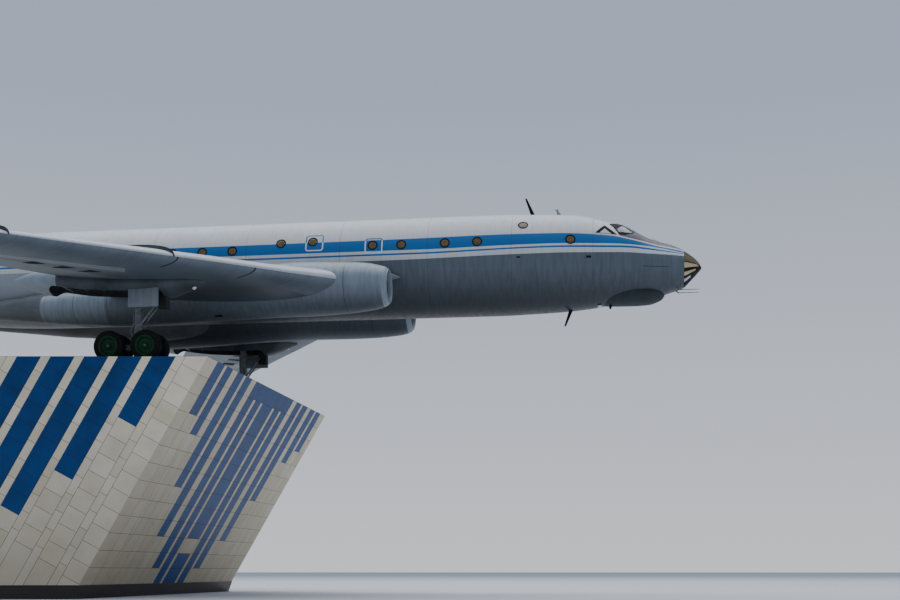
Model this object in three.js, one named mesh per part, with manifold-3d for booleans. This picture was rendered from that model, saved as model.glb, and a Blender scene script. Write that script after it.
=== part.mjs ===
// Four-surface swept-wing airliner with two engines in the wing roots, mounted on a tiled plinth.
// Millimetres, +X to the nose, +Y to the left wing, +Z up. The origin is on the ground, under the
// middle of the aircraft's length and span.
import * as THREE from 'three';
import { mergeVertices } from 'three/addons/utils/BufferGeometryUtils.js';
import Module from 'manifold-3d';

const wasm = await Module();
wasm.setup();

// Driving dimensions
const LENGTH = 38850;
const NOSE_X = LENGTH / 2;
const AXIS_Z = 11709;
const LEG_X = 1225;
const LEG_Y = 5660;
const TYRE_R = 505;
const TYRE_WIDTH = 310;
const TWIN_HALF = 345;
const AXLES = [['front', LEG_X + 400], ['rear', LEG_X - 830]];
const PLINTH_TOP = 7586;
const TYRE_CLEARANCE = 6;
const WHEEL_Z = PLINTH_TOP + TYRE_CLEARANCE + TYRE_R;

// Gaps
const FIT = 0.3;
const RUN = 10;
const END_RUN = 14;

// Facets round a body, an aerofoil's half outline and a small round piece
const BODY_SIDES = 28;
const DUCT_SIDES = 20;
const POD_SIDES = 18;
const FOIL_STEPS = 8;
const ROUND_SIDES = 12;
const WHEEL_SIDES = 28;

// Materials
const paint = (color, roughness = 0.4, metalness = 0.3) =>
  new THREE.MeshStandardMaterial({ color, roughness, metalness });
const GREY = paint(0x6f7880);
const WHITE = paint(0xd7dbdd);
const PALE = paint(0x9aa2a8);
const GLAZING = paint(0x8f7a46, 0.2, 0.6);
const RADOME_SKIN = paint(0x59616a, 0.5, 0.1);
const TILE = paint(0xd9d0bd, 0.35, 0);
const GRANITE = paint(0x4a3531, 0.3, 0);
const RUBBER = paint(0x16181a, 0.85, 0);
const HUB = paint(0x0f5a33, 0.5, 0.2);
const STEEL = paint(0x7b7f80, 0.45, 0.7);

// Closed solids: a merged three.js mesh becomes a manifold, and back
const solid = (geometry) => {
  geometry.deleteAttribute('normal');
  geometry.deleteAttribute('uv');
  const merged = mergeVertices(geometry, 1e-3);
  const vertProperties = new Float32Array(merged.attributes.position.array);
  const triVerts = new Uint32Array(merged.index.array);
  return new wasm.Manifold(new wasm.Mesh({ numProp: 3, vertProperties, triVerts }));
};

const largest = (shape) => {
  const pieces = shape.decompose();
  return pieces.reduce((best, piece) => (piece.volume() > best.volume() ? piece : best));
};

const geometryOf = (shape) => {
  const { vertProperties, triVerts } = shape.getMesh();
  const geometry = new THREE.BufferGeometry();
  geometry.setAttribute('position', new THREE.BufferAttribute(vertProperties, 3));
  geometry.setIndex(new THREE.BufferAttribute(triVerts, 1));
  return geometry;
};

// A closed skin through rings of equal point count, capped by fans
function loft(rings) {
  const count = rings[0].length;
  const points = rings.flat();
  const faces = [];
  for (let r = 0; r + 1 < rings.length; r++) {
    for (let i = 0; i < count; i++) {
      const a = r * count + i;
      const b = r * count + ((i + 1) % count);
      faces.push(a, b, b + count, a, b + count, a + count);
    }
  }
  const caps = [[0, 1], [rings.length - 1, -1]];
  for (const [r, turn] of caps) {
    const centre = points.length;
    const middle = rings[r].reduce((sum, p) => sum.add(p), new THREE.Vector3());
    points.push(middle.divideScalar(count));
    for (let i = 0; i < count; i++) {
      const a = r * count + i;
      const b = r * count + ((i + 1) % count);
      faces.push(centre, ...(turn > 0 ? [b, a] : [a, b]));
    }
  }
  let volume = 0;
  for (let f = 0; f < faces.length; f += 3) {
    const [a, b, c] = [points[faces[f]], points[faces[f + 1]], points[faces[f + 2]]];
    volume += a.dot(b.clone().cross(c));
  }
  if (volume < 0) faces.reverse();
  const geometry = new THREE.BufferGeometry().setFromPoints(points);
  geometry.setIndex(faces);
  return solid(geometry);
}

const ring = (x, y, z, halfWidth, halfHeight, sides = BODY_SIDES) =>
  Array.from({ length: sides }, (_, i) => {
    const angle = (2 * Math.PI * i) / sides;
    return new THREE.Vector3(x, y + halfWidth * Math.cos(angle), z + halfHeight * Math.sin(angle));
  });

const box = (x0, x1, y0, y1, z0, z1) => {
  const geometry = new THREE.BoxGeometry(x1 - x0, y1 - y0, z1 - z0);
  geometry.translate((x0 + x1) / 2, (y0 + y1) / 2, (z0 + z1) / 2);
  return solid(geometry);
};

// A bar or cone from one point to another
const bar = (from, to, r0, r1 = r0, sides = ROUND_SIDES) => {
  const [a, b] = [from, to].map((p) => (p.isVector3 ? p.clone() : new THREE.Vector3(...p)));
  const along = b.clone().sub(a);
  const geometry = new THREE.CylinderGeometry(r1, r0, along.length(), sides);
  const turn = new THREE.Quaternion().setFromUnitVectors(
    new THREE.Vector3(0, 1, 0), along.clone().normalize());
  geometry.applyQuaternion(turn);
  const middle = a.add(b).multiplyScalar(0.5);
  geometry.translate(middle.x, middle.y, middle.z);
  return solid(geometry);
};

// A side outline [x, z] made a plate of a half thickness about the middle plane
const slab = (outline, half) => {
  const shape = new THREE.Shape(outline.map(([x, z]) => new THREE.Vector2(x, z)));
  const geometry = new THREE.ExtrudeGeometry(shape, { depth: 2 * half, bevelEnabled: false });
  geometry.translate(0, 0, -half);
  geometry.rotateX(Math.PI / 2);
  return solid(geometry);
};

// Fuselage sections: [station aft of the nose, top and bottom from the axis, half width]
const BODY = [
  [0, -275, -335, 40],
  [140, -45, -495, 225],
  [370, 155, -745, 450],
  [610, 315, -975, 645],
  [1050, 515, -1125, 810],
  [1320, 595, -1205, 890],
  [1820, 765, -1290, 1030],
  [2730, 1255, -1430, 1260],
  [3250, 1385, -1505, 1370],
  [3670, 1505, -1575, 1460],
  [4130, 1615, -1625, 1550],
  [4900, 1675, -1680, 1660],
  [5960, 1715, -1720, 1720],
  [7030, 1750, -1750, 1750],
  [23300, 1750, -1750, 1750],
  [27270, 1720, -1580, 1670],
  [30770, 1620, -1120, 1420],
  [34270, 1380, -480, 1010],
  [37070, 1080, 100, 540],
  [38470, 860, 420, 240],
  [LENGTH, 700, 580, 60],
];
const bodySolid = (grow = 0) => loft(BODY.map(([s, top, bottom, half]) => ring(
  NOSE_X - s, 0, AXIS_Z + (top + bottom) / 2, half + grow, (top - bottom) / 2 + grow)));

// Lifting surfaces: [distance out, leading edge x, trailing edge x, z of the leading edge,
// thickness / chord]; the wing's chords fall to the rear by its incidence
const INCIDENCE = 0.035;
const WING = [
  [1200, 8125, -675, -900, 0.11],
  [3150, 7360, -825, -1030, 0.13],
  [4300, 5895, -975, -1020, 0.125],
  [6300, 4325, -1315, -1130, 0.13],
  [11900, -65, -4050, -1515, 0.12],
  [17050, -4105, -6565, -1870, 0.11],
  [17270, -4400, -6600, -1885, 0.04],
];
const TAILPLANE = [
  [250, -11945, -16045, 750, 0.09],
  [5950, -16730, -18340, 750, 0.09],
  [6200, -17000, -18340, 750, 0.04],
];
// For the fin the distance out is its height above the axis
const FIN = [
  [900, -9700, -17100, 0, 0.1],
  [7450, -15620, -18180, 0, 0.1],
  [7770, -16060, -18180, 0, 0.04],
];

const halfThickness = (f) =>
  5 * (0.2969 * Math.sqrt(f) - 0.126 * f - 0.3516 * f ** 2 + 0.2843 * f ** 3 - 0.1015 * f ** 4);

// Outline of one aerofoil as [chord fraction, offset / thickness], over the top and back under
const foilOutline = () => {
  const outline = [];
  for (let i = 0; i <= FOIL_STEPS; i++) {
    const f = (1 + Math.cos((Math.PI * i) / FOIL_STEPS)) / 2;
    outline.push([f, halfThickness(f)]);
  }
  for (let i = FOIL_STEPS - 1; i >= 0; i--) {
    const f = (1 + Math.cos((Math.PI * i) / FOIL_STEPS)) / 2;
    outline.push([f, -halfThickness(f)]);
  }
  return outline;
};
const FOIL = foilOutline();

const foilRing = ([out, le, te, mid, thick], place, grow) => FOIL.map(([f, h]) => {
  const chord = le - te;
  const x = le + grow - (chord + 2 * grow) * f;
  return place(x, out, mid, h * thick * chord + Math.sign(h) * grow, le - x);
});
const flat = (side, slope = 0) => (x, out, mid, h, aft = 0) =>
  new THREE.Vector3(x, side * out, AXIS_Z + mid - slope * aft + h);
const upright = (x, out, mid, h) => new THREE.Vector3(x, h, AXIS_Z + out);
const surface = (table, place, grow = 0) => loft(table.map((row) => foilRing(row, place, grow)));

// The surface's middle height and half thickness at a distance out and an x
const surfaceAt = (table, out, x) => {
  const k = table.findIndex((row) => row[0] >= out);
  const [a, b] = [table[k - 1], table[k]];
  const share = (out - a[0]) / (b[0] - a[0]);
  const [, le, te, mid, thick] = a.map((v, i) => v + (b[i] - v) * share);
  const f = (le - x) / (le - te);
  return { mid, half: halfThickness(f) * thick * (le - te), aft: le - x };
};

// Hinged or fixed trailing-edge piece between two hinge points [out, x], with the hinge line's
// round nose; endIn gives the direction of the inner end as [x, out]
const REACH = 4000;
const INNER_GAP = 4;
const NOSE_INSET = 60;
const BITE = 3;
function trailing(table, place, [outA, xA], [outB, xB], endIn, hinged) {
  const length = Math.hypot(xB - xA, outB - outA);
  const along = [(xB - xA) / length, (outB - outA) / length];
  const aft = [-along[1], along[0]];
  const inner = endIn || aft;
  const corner = (x, out, way, alongGap, reach, gap) => [
    x + along[0] * alongGap - aft[0] * gap + way[0] * reach,
    out + along[1] * alongGap - aft[1] * gap + way[1] * reach,
  ];
  const spread = (gap) => [
    corner(xA, outA, inner, -INNER_GAP * gap, 0, gap),
    corner(xB, outB, aft, gap, 0, gap),
    corner(xB, outB, aft, gap, REACH, gap),
    corner(xA, outA, inner, -INNER_GAP * gap, REACH, gap),
  ];
  const prism = (gap) => {
    const corners = spread(gap);
    const layer = (h) => corners.map(([x, out]) => place(x, out, -1500, h));
    return loft([layer(-4000), layer(6000)]);
  };
  const a = surfaceAt(table, outA, xA);
  const b = surfaceAt(table, outB, xB);
  if (!hinged) return { piece: prism(0), cut: prism(FIT) };
  const pointA = place(xA, outA, a.mid, 0, a.aft);
  const pointB = place(xB, outB, b.mid, 0, b.aft);
  const cone = (share, add, inset) => {
    const way = pointB.clone().sub(pointA).normalize().multiplyScalar(inset);
    const from = pointA.clone().add(way);
    const to = pointB.clone().sub(way);
    return bar(from, to, a.half * share + add, b.half * share + add);
  };
  const cut = prism(END_RUN).add(cone(1, RUN, -END_RUN));
  return { cut, nose: cone(0.88, 0, NOSE_INSET), piece: prism(-BITE) };
}

const nodes = [];
const add = (name, shape, material) => {
  const mesh = new THREE.Mesh(geometryOf(shape), material);
  mesh.name = name;
  nodes.push(mesh);
};

// Plinth: its front leans out from the skirting to the deck, and its two sides are parallel
const SKIRT_TOP = 430;
const SKIRT_PROUD = 20;
const PLINTH_REAR_X = -11000;
const PLINTH_FRONT = { foot: -250, low: -90, high: 3905 };
const PLINTH_NEAR = { front: -6711, splay: 0.1406 };
const PLINTH_WIDTH = 15480;
const nearY = (x) => PLINTH_NEAR.front - PLINTH_NEAR.splay * (PLINTH_FRONT.high - x);
const plinthRing = (x, z, proud = 0) => [
  new THREE.Vector3(x + proud, nearY(x) - proud, z),
  new THREE.Vector3(x + proud, nearY(x) + PLINTH_WIDTH + proud, z),
  new THREE.Vector3(PLINTH_REAR_X - proud, nearY(PLINTH_REAR_X) + PLINTH_WIDTH + proud, z),
  new THREE.Vector3(PLINTH_REAR_X - proud, nearY(PLINTH_REAR_X) - proud, z),
];
function plinth() {
  const low = plinthRing(PLINTH_FRONT.low, SKIRT_TOP + FIT);
  const high = plinthRing(PLINTH_FRONT.high, PLINTH_TOP);
  add('plinth_body', loft([low, high]), TILE);
  const foot = plinthRing(PLINTH_FRONT.foot, 0, SKIRT_PROUD);
  const top = plinthRing(PLINTH_FRONT.low, SKIRT_TOP, SKIRT_PROUD);
  add('plinth_skirting', loft([foot, top]), GRANITE);
}

// Engine nacelles: [x, distance out, half width, z from the axis, half height]
const NACELLE = [
  [8860, 2420, 560, -1140, 570],
  [8760, 2420, 650, -1145, 655],
  [8500, 2410, 740, -1150, 735],
  [8100, 2380, 830, -1135, 805],
  [7400, 2320, 960, -1135, 860],
  [5700, 2200, 1040, -1115, 915],
  [3200, 2150, 1050, -1205, 875],
  [700, 2200, 960, -1420, 770],
  [-800, 2290, 790, -1520, 715],
  [-1830, 2370, 640, -1560, 620],
  [-2750, 2420, 550, -1585, 545],
  [-3480, 2450, 470, -1600, 465],
];
// Fairing that runs on behind the wing root along the fuselage side, in the same columns
const ROOT_FAIRING = [
  [2500, 1700, 300, -1350, 300],
  [1000, 1600, 440, -1380, 520],
  [-1000, 1520, 500, -1380, 680],
  [-2200, 1500, 520, -1360, 700],
  [-3500, 1480, 520, -1310, 580],
  [-4200, 1450, 500, -1330, 520],
  [-5700, 1400, 400, -1350, 350],
  [-7000, 1320, 260, -1380, 200],
  [-8300, 1120, 80, -1400, 60],
];
// The duct through it: [x, distance out, z from the axis, half width, half height]
const DUCT = [
  [9000, 2420, -1140, 530, 540],
  [8700, 2420, -1145, 520, 530],
  [7700, 2415, -1170, 560, 570],
  [6200, 2400, -1210, 600, 600],
  [1600, 2400, -1370, 600, 600],
  [-400, 2420, -1480, 430, 430],
  [-3800, 2450, -1612, 400, 400],
];
// Wedge between the intake and the fuselage side: from and to as [x, distance out, z], end radii
const DIVERTER = { tip: [9100, 1790, -700], tipR: 15, back: [8450, 1800, -600], backR: 235 };
const ENGINE_FROM = 6200;
const ENGINE_TO = 1700;
const alongside = (rows, side, grow) => loft(rows.map(([x, out, halfW, z, halfH]) => ring(
  x, side * out, AXIS_Z + z, halfW + grow, halfH + grow)));
const nacelleSolid = (side, grow = 0) =>
  alongside(NACELLE, side, grow).add(alongside(ROOT_FAIRING, side, grow));
const ductSolid = (side, grow = 0) => loft(DUCT.map(([x, out, z, halfW, halfH]) => ring(
  x, side * out, AXIS_Z + z, halfW + grow, halfH + grow, DUCT_SIDES)));

// Main gear pods: [x, z top, z bottom, half width]
const POD = [
  [3500, -1480, -1580, 60],
  [3200, -1380, -1700, 310],
  [2800, -1300, -1860, 500],
  [2225, -1250, -2010, 620],
  [1025, -1150, -2040, 680],
  [-275, -1050, -1980, 680],
  [-1575, -1000, -1860, 580],
  [-2400, -1100, -1670, 370],
  [-2975, -1270, -1400, 80],
];
const BAY = { from: -1650, to: 2175, half: 540, top: -1480 };
const podSolid = (side, grow = 0) => loft(POD.map(([x, top, bottom, half]) => ring(
  x, side * LEG_Y, AXIS_Z + (top + bottom) / 2, half + grow, (top - bottom) / 2 + grow, POD_SIDES)));

// Control surfaces and flaps: hinge points [distance out, x]
const AILERON = [[11950, -2890], [16600, -5575]];
const FLAP_OUTER = [[6560, 900], [11750, -2420]];
const FLAP_INNER = [[3450, 1150], [4850, 1050]];
const ELEVATOR = [[1250, -15250], [5500, -17510]];
const RUDDER = [[1800, -15800], [7000, -17560]];
const AFT = [-1, 0];

const FENCES = [7750, 11880];
const FENCE_HEIGHT = 110;
const FENCE_HALF = 12;
const FENCE_SHARE = 0.45;
function fence(side, out) {
  const k = WING.findIndex((row) => row[0] >= out);
  const [a, b] = [WING[k - 1], WING[k]];
  const share = (out - a[0]) / (b[0] - a[0]);
  const row = a.map((v, i) => v + (b[i] - v) * share);
  const rows = [-1, 1].map((end) => [out + end * FENCE_HALF, ...row.slice(1)]);
  const plate = surface(rows, flat(side, INCIDENCE), FENCE_HEIGHT);
  const chord = row[1] - row[2];
  const keep = box(row[1] - FENCE_SHARE * chord, row[1] + 120, -20000, 20000,
    AXIS_Z + row[3], AXIS_Z + row[3] + 2000);
  return plate.intersect(keep);
}

// Dorsal fillet's side outline, [x, z from the axis]
const RIDGE = [[-4200, 1600], [-4200, 1752], [-7000, 1930], [-9300, 2200],
  [-11350, 2660], [-11350, 1500]];
const RIDGE_HALF = 90;

function airframe() {
  const whole = bodySolid();
  const grown = bodySolid(FIT);
  // Production joints round the fuselage: [node, from station, to station, material]
  const joints = [
    ['nose_glazing', 0, 610, GLAZING],
    ['cockpit_section', 610, 4280, GREY],
    ['fuselage_front', 4280, 12000, GREY],
    ['fuselage_centre', 12000, 23300, GREY],
    ['fuselage_rear', 23300, 34270, GREY],
    ['tail_cone', 34270, LENGTH, GREY],
  ];
  for (const [name, from, to, material] of joints) {
    const x0 = NOSE_X - to + (to === LENGTH ? -100 : FIT / 2);
    const x1 = NOSE_X - from - (from === 0 ? -100 : FIT / 2);
    add(name, whole.intersect(box(x0, x1, -4000, 4000, AXIS_Z - 4000, AXIS_Z + 4000)), material);
  }
  add('chin_radome', largest(chinSolid().subtract(grown)), RADOME_SKIN);

  const fin = surface(FIN, upright);
  const rudder = trailing(FIN, upright, ...RUDDER, null, true);
  add('fin', largest(fin.subtract(grown).subtract(rudder.cut)), WHITE);
  add('rudder', largest(fin.intersect(rudder.piece).add(rudder.nose)), WHITE);

  // Dorsal fillet: a thin ridge that rises from the cabin roof to the fin
  const ridge = slab(RIDGE.map(([x, z]) => [x, AXIS_Z + z]), RIDGE_HALF);
  add('dorsal_fillet', largest(ridge.subtract(grown).subtract(surface(FIN, upright, FIT))), WHITE);

  for (const [name, side] of [['right', -1], ['left', 1]]) {
    const place = flat(side, INCIDENCE);
    const wingWhole = surface(WING, place);
    const aileron = trailing(WING, place, ...AILERON, null, true);
    const outer = trailing(WING, place, ...FLAP_OUTER, AFT, false);
    const inner = trailing(WING, place, ...FLAP_INNER, AFT, false);
    const body = grown.add(nacelleSolid(side, FIT));
    let wing = wingWhole.subtract(body);
    wing = wing.subtract(aileron.cut).subtract(outer.cut).subtract(inner.cut);
    for (const out of FENCES) wing = wing.add(fence(side, out));
    add(`wing_${name}`, largest(wing), GREY);
    add(`aileron_${name}`, largest(wingWhole.intersect(aileron.piece).add(aileron.nose)), GREY);
    add(`flap_outer_${name}`, largest(wingWhole.intersect(outer.piece)), PALE);
    add(`flap_inner_${name}`, largest(wingWhole.intersect(inner.piece).subtract(body)), PALE);
    const [tip, back] = [DIVERTER.tip, DIVERTER.back].map(([x, out, z]) => [x, side * out, AXIS_Z + z]);
    const diverter = bar(tip, back, DIVERTER.tipR, DIVERTER.backR);
    const nacelle = nacelleSolid(side).add(diverter).subtract(grown).subtract(ductSolid(side));
    add(`nacelle_${name}`, largest(nacelle), GREY);
    const slice = box(ENGINE_TO, ENGINE_FROM, -9000, 9000, AXIS_Z - 5000, AXIS_Z + 5000);
    add(`engine_${name}`, ductSolid(side, -FIT).intersect(slice), STEEL);

    const tailplane = surface(TAILPLANE, flat(side));
    const elevator = trailing(TAILPLANE, flat(side), ...ELEVATOR, AFT, true);
    const stabiliser = tailplane.subtract(grown).subtract(elevator.cut);
    add(`stabiliser_${name}`, largest(stabiliser), GREY);
    add(`elevator_${name}`, largest(tailplane.intersect(elevator.piece).add(elevator.nose)), GREY);
    gear(name, side, surface(WING, place, FIT));
  }
}

// Radome under the nose: [x, z centre from the axis, half width, half height]
const CHIN = [
  [18165, -1190, 60, 50],
  [18060, -1180, 330, 190],
  [17605, -1175, 620, 345],
  [17055, -1175, 705, 365],
  [16455, -1185, 680, 350],
  [16055, -1235, 530, 285],
  [15755, -1380, 270, 120],
];
const chinSolid = () => loft(CHIN.map(([x, z, halfW, halfH]) => ring(
  x, 0, AXIS_Z + z, halfW, halfH, DUCT_SIDES)));

// Main gear
const LEG_R = 115;
const LEG_TOP = -1350;
const BEAM = { from: LEG_X - 1010, to: LEG_X + 510, half: 105, high: 100 };
const AXLE_R = 55;
const BORE_R = 62;
const HUB_R = 270;
const RIM_HALF = 120;
const DOOR = { from: LEG_X - 120, to: LEG_X + 890, out: 545, thick: 25, top: -1780, bottom: -2410 };
const BRACE = {
  topX: LEG_X + 720, topZ: -2130, lowX: LEG_X + 110, lowZ: -2910, out: 125, r: 26,
  block: { from: LEG_X + 680, to: LEG_X + 1020, half: 160, bottom: -2380, top: -1300 },
  pin: { half: 150, r: 40 },
};

// Tyre section as [radius, distance from the middle plane], a closed outline
const tyreProfile = () => {
  const half = TYRE_WIDTH / 2;
  const bead = HUB_R + 0.5;
  return [[bead, -RIM_HALF], [400, -half], [490, -half + 30], [TYRE_R, -60],
    [TYRE_R, 60], [490, half - 30], [400, half], [bead, RIM_HALF], [bead, -RIM_HALF]];
};
const hubProfile = () => [[0, -RIM_HALF], [HUB_R, -RIM_HALF], [HUB_R, RIM_HALF],
  [HUB_R - 20, RIM_HALF], [215, 60], [100, 60], [80, RIM_HALF + 30], [0, RIM_HALF + 30]];

const turned = (profile, x, y, z, flip = false) => {
  const points = profile.map(([r, h]) => new THREE.Vector2(r, flip ? -h : h));
  if (flip) points.reverse();
  const geometry = new THREE.LatheGeometry(points, WHEEL_SIDES);
  geometry.translate(x, y, z);
  return solid(geometry);
};

function gear(name, side, wingGrown) {
  const y = side * LEG_Y;
  const z = (value) => AXIS_Z + value;
  const bay = box(BAY.from, BAY.to, y - BAY.half, y + BAY.half, z(-3000), z(BAY.top));
  const pod = largest(podSolid(side).subtract(wingGrown).subtract(bay));
  add(`gear_pod_${name}`, pod, GREY);
  const podWhole = podSolid(side, FIT).subtract(bay).add(wingGrown);

  const leg = bar([LEG_X, y, z(LEG_TOP)], [LEG_X, y, WHEEL_Z + BEAM.high + FIT], LEG_R);
  add(`leg_${name}`, largest(leg.subtract(podWhole)), PALE);

  const panelOut = side * DOOR.out;
  const [y0, y1] = [y + panelOut, y + panelOut + side * DOOR.thick].sort((a, b) => a - b);
  const panel = box(DOOR.from, DOOR.to, y0, y1, z(DOOR.bottom), z(DOOR.top));
  add(`leg_door_${name}`, largest(panel.subtract(podWhole)), PALE);

  const { block, pin } = BRACE;
  let brace = box(block.from, block.to, y - block.half, y + block.half, z(block.bottom), z(block.top));
  for (const end of [-1, 1]) {
    brace = brace.add(bar([BRACE.topX, y + end * BRACE.out, z(BRACE.topZ)],
      [BRACE.lowX, y + end * BRACE.out, z(BRACE.lowZ)], BRACE.r));
  }
  brace = brace.add(bar([BRACE.lowX, y - pin.half, z(BRACE.lowZ)],
    [BRACE.lowX, y + pin.half, z(BRACE.lowZ)], pin.r));
  const legGrown = bar([LEG_X, y, z(LEG_TOP)], [LEG_X, y, WHEEL_Z], LEG_R + FIT);
  add(`drag_brace_${name}`, largest(brace.subtract(podWhole).subtract(legGrown)), STEEL);

  let beam = box(BEAM.from, BEAM.to, y - BEAM.half, y + BEAM.half,
    WHEEL_Z - BEAM.high, WHEEL_Z + BEAM.high);
  for (const [, x] of AXLES) {
    beam = beam.subtract(bar([x, y - 300, WHEEL_Z], [x, y + 300, WHEEL_Z], BORE_R));
  }
  add(`bogie_beam_${name}`, beam, STEEL);

  for (const [end, x] of AXLES) {
    let axle = bar([x, y - TWIN_HALF, WHEEL_Z], [x, y + TWIN_HALF, WHEEL_Z], AXLE_R);
    for (const twin of [-1, 1]) {
      const wheelY = y + twin * TWIN_HALF;
      axle = axle.add(turned(hubProfile(), x, wheelY, WHEEL_Z, twin < 0));
      const place = twin * side > 0 ? 'outer' : 'inner';
      add(`tyre_${end}_${place}_${name}`, turned(tyreProfile(), x, wheelY, WHEEL_Z), RUBBER);
    }
    add(`wheels_${end}_${name}`, axle, HUB);
  }
}

// Masts: [node, from [x, z], to [x, z], chord, half thickness]
const MASTS = [
  ['mast_upper', [13620, 1640], [13325, 2350], 160, 25],
  ['mast_lower', [14930, -1600], [14705, -2200], 140, 25],
];
function masts() {
  const grown = bodySolid(FIT);
  for (const [name, root, tip, chord, half] of MASTS) {
    const outline = [[root[0] - chord / 2, root[1]], [root[0] + chord / 2, root[1]],
      [tip[0] + chord / 5, tip[1]], [tip[0] - chord / 5, tip[1]]];
    const blade = slab(outline.map(([x, v]) => [x, AXIS_Z + v]), half);
    add(name, largest(blade.subtract(grown)), PALE);
  }
}

plinth();
airframe();
masts();

const aircraft = new THREE.Group();
aircraft.add(...nodes);
export default aircraft;
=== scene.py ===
import math
import random
from contextlib import contextmanager

import bmesh
import bpy
from mathutils import Matrix, Vector


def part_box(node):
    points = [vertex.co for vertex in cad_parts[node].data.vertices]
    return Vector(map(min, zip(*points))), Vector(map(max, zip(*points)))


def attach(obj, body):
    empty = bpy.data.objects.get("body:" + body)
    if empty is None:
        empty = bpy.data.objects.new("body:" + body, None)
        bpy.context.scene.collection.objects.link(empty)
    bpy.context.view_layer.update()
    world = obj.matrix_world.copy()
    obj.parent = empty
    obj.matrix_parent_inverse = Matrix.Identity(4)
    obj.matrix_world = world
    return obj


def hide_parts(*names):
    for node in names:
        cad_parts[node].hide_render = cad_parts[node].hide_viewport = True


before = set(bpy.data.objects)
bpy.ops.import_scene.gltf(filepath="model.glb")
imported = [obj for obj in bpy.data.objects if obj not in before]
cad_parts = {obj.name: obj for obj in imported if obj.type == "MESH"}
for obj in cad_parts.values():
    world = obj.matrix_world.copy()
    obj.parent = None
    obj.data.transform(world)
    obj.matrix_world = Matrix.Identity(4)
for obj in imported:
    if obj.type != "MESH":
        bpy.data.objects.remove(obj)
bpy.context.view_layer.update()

bpy.ops.object.select_all(action="DESELECT")

# Driving dimensions, from the frame
NOSE_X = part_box("nose_glazing")[1].x
AXIS_Z = sum(corner.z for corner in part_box("fuselage_centre")) / 2
DECK_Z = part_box("plinth_body")[1].z
AIRFRAME = "airframe_and_plinth"
SIDES = {"right": -1, "left": 1}
ROUND = 64
PROUD = 0.004

# Fuselage sections: station aft of the nose, top and bottom from the axis, half width
BODY = [
    (0.00, -0.275, -0.335, 0.040),
    (0.14, -0.045, -0.495, 0.225),
    (0.37, 0.155, -0.745, 0.450),
    (0.61, 0.315, -0.975, 0.645),
    (1.05, 0.515, -1.125, 0.810),
    (1.32, 0.595, -1.205, 0.890),
    (1.82, 0.765, -1.290, 1.030),
    (2.73, 1.255, -1.430, 1.260),
    (3.25, 1.385, -1.505, 1.370),
    (3.67, 1.505, -1.575, 1.460),
    (4.13, 1.615, -1.625, 1.550),
    (4.90, 1.675, -1.680, 1.660),
    (5.96, 1.715, -1.720, 1.720),
    (7.03, 1.750, -1.750, 1.750),
    (23.30, 1.750, -1.750, 1.750),
    (27.27, 1.720, -1.580, 1.670),
    (30.77, 1.620, -1.120, 1.420),
    (34.27, 1.380, -0.480, 1.010),
    (37.07, 1.080, 0.100, 0.540),
    (38.47, 0.860, 0.420, 0.240),
    (38.85, 0.700, 0.580, 0.060),
]

# Lifting surfaces: distance out, leading and trailing edge x, height of the leading edge from
# the axis, thickness / chord. The wing's chords fall to the rear by its incidence. For the fin
# the distance out is its height above the axis.
INCIDENCE = 0.035
WING = [
    (1.20, 8.125, -0.675, -0.900, 0.110),
    (3.15, 7.360, -0.825, -1.030, 0.130),
    (4.30, 5.895, -0.975, -1.020, 0.125),
    (6.30, 4.325, -1.315, -1.130, 0.130),
    (11.90, -0.065, -4.050, -1.515, 0.120),
    (17.05, -4.105, -6.565, -1.870, 0.110),
    (17.27, -4.400, -6.600, -1.885, 0.040),
]
TAILPLANE = [
    (0.25, -11.945, -16.045, 0.750, 0.09),
    (5.95, -16.730, -18.340, 0.750, 0.09),
    (6.20, -17.000, -18.340, 0.750, 0.04),
]
FIN = [
    (0.90, -9.700, -17.100, 0, 0.10),
    (7.45, -15.620, -18.180, 0, 0.10),
    (7.77, -16.060, -18.180, 0, 0.04),
]
AILERON = ((11.95, -2.890), (16.60, -5.575))
FLAP_OUTER = ((6.56, 0.900), (11.75, -2.420))
FLAP_INNER = ((3.45, 1.150), (4.85, 1.050))
ELEVATOR = ((1.25, -15.250), (5.50, -17.510))
RUDDER = ((1.80, -15.800), (7.00, -17.560))

# Nacelles, the fairings behind them along the fuselage, the ducts and the gear pods: x, distance
# out, half width, height of the middle from the axis, half height
NACELLE = [
    (8.86, 2.42, 0.560, -1.140, 0.570),
    (8.76, 2.42, 0.650, -1.145, 0.655),
    (8.50, 2.41, 0.740, -1.150, 0.735),
    (8.10, 2.38, 0.830, -1.135, 0.805),
    (7.40, 2.32, 0.960, -1.135, 0.860),
    (5.70, 2.20, 1.040, -1.115, 0.915),
    (3.20, 2.15, 1.050, -1.205, 0.875),
    (0.70, 2.20, 0.960, -1.420, 0.770),
    (-0.80, 2.29, 0.790, -1.520, 0.715),
    (-1.83, 2.37, 0.640, -1.560, 0.620),
    (-2.75, 2.42, 0.550, -1.585, 0.545),
    (-3.48, 2.45, 0.470, -1.600, 0.465),
]
ROOT_FAIRING = [
    (2.50, 1.70, 0.300, -1.350, 0.300),
    (1.00, 1.60, 0.440, -1.380, 0.520),
    (-1.00, 1.52, 0.500, -1.380, 0.680),
    (-2.20, 1.50, 0.520, -1.360, 0.700),
    (-3.50, 1.48, 0.520, -1.310, 0.580),
    (-4.20, 1.45, 0.500, -1.330, 0.520),
    (-5.70, 1.40, 0.400, -1.350, 0.350),
    (-7.00, 1.32, 0.260, -1.380, 0.200),
    (-8.30, 1.12, 0.080, -1.400, 0.060),
]
DUCT = [
    (8.70, 2.420, 0.520, -1.145, 0.530),
    (7.70, 2.415, 0.560, -1.170, 0.570),
    (6.20, 2.400, 0.600, -1.210, 0.600),
    (1.60, 2.400, 0.600, -1.370, 0.600),
    (-0.40, 2.420, 0.430, -1.480, 0.430),
    (-3.48, 2.448, 0.403, -1.600, 0.403),
]
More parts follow.
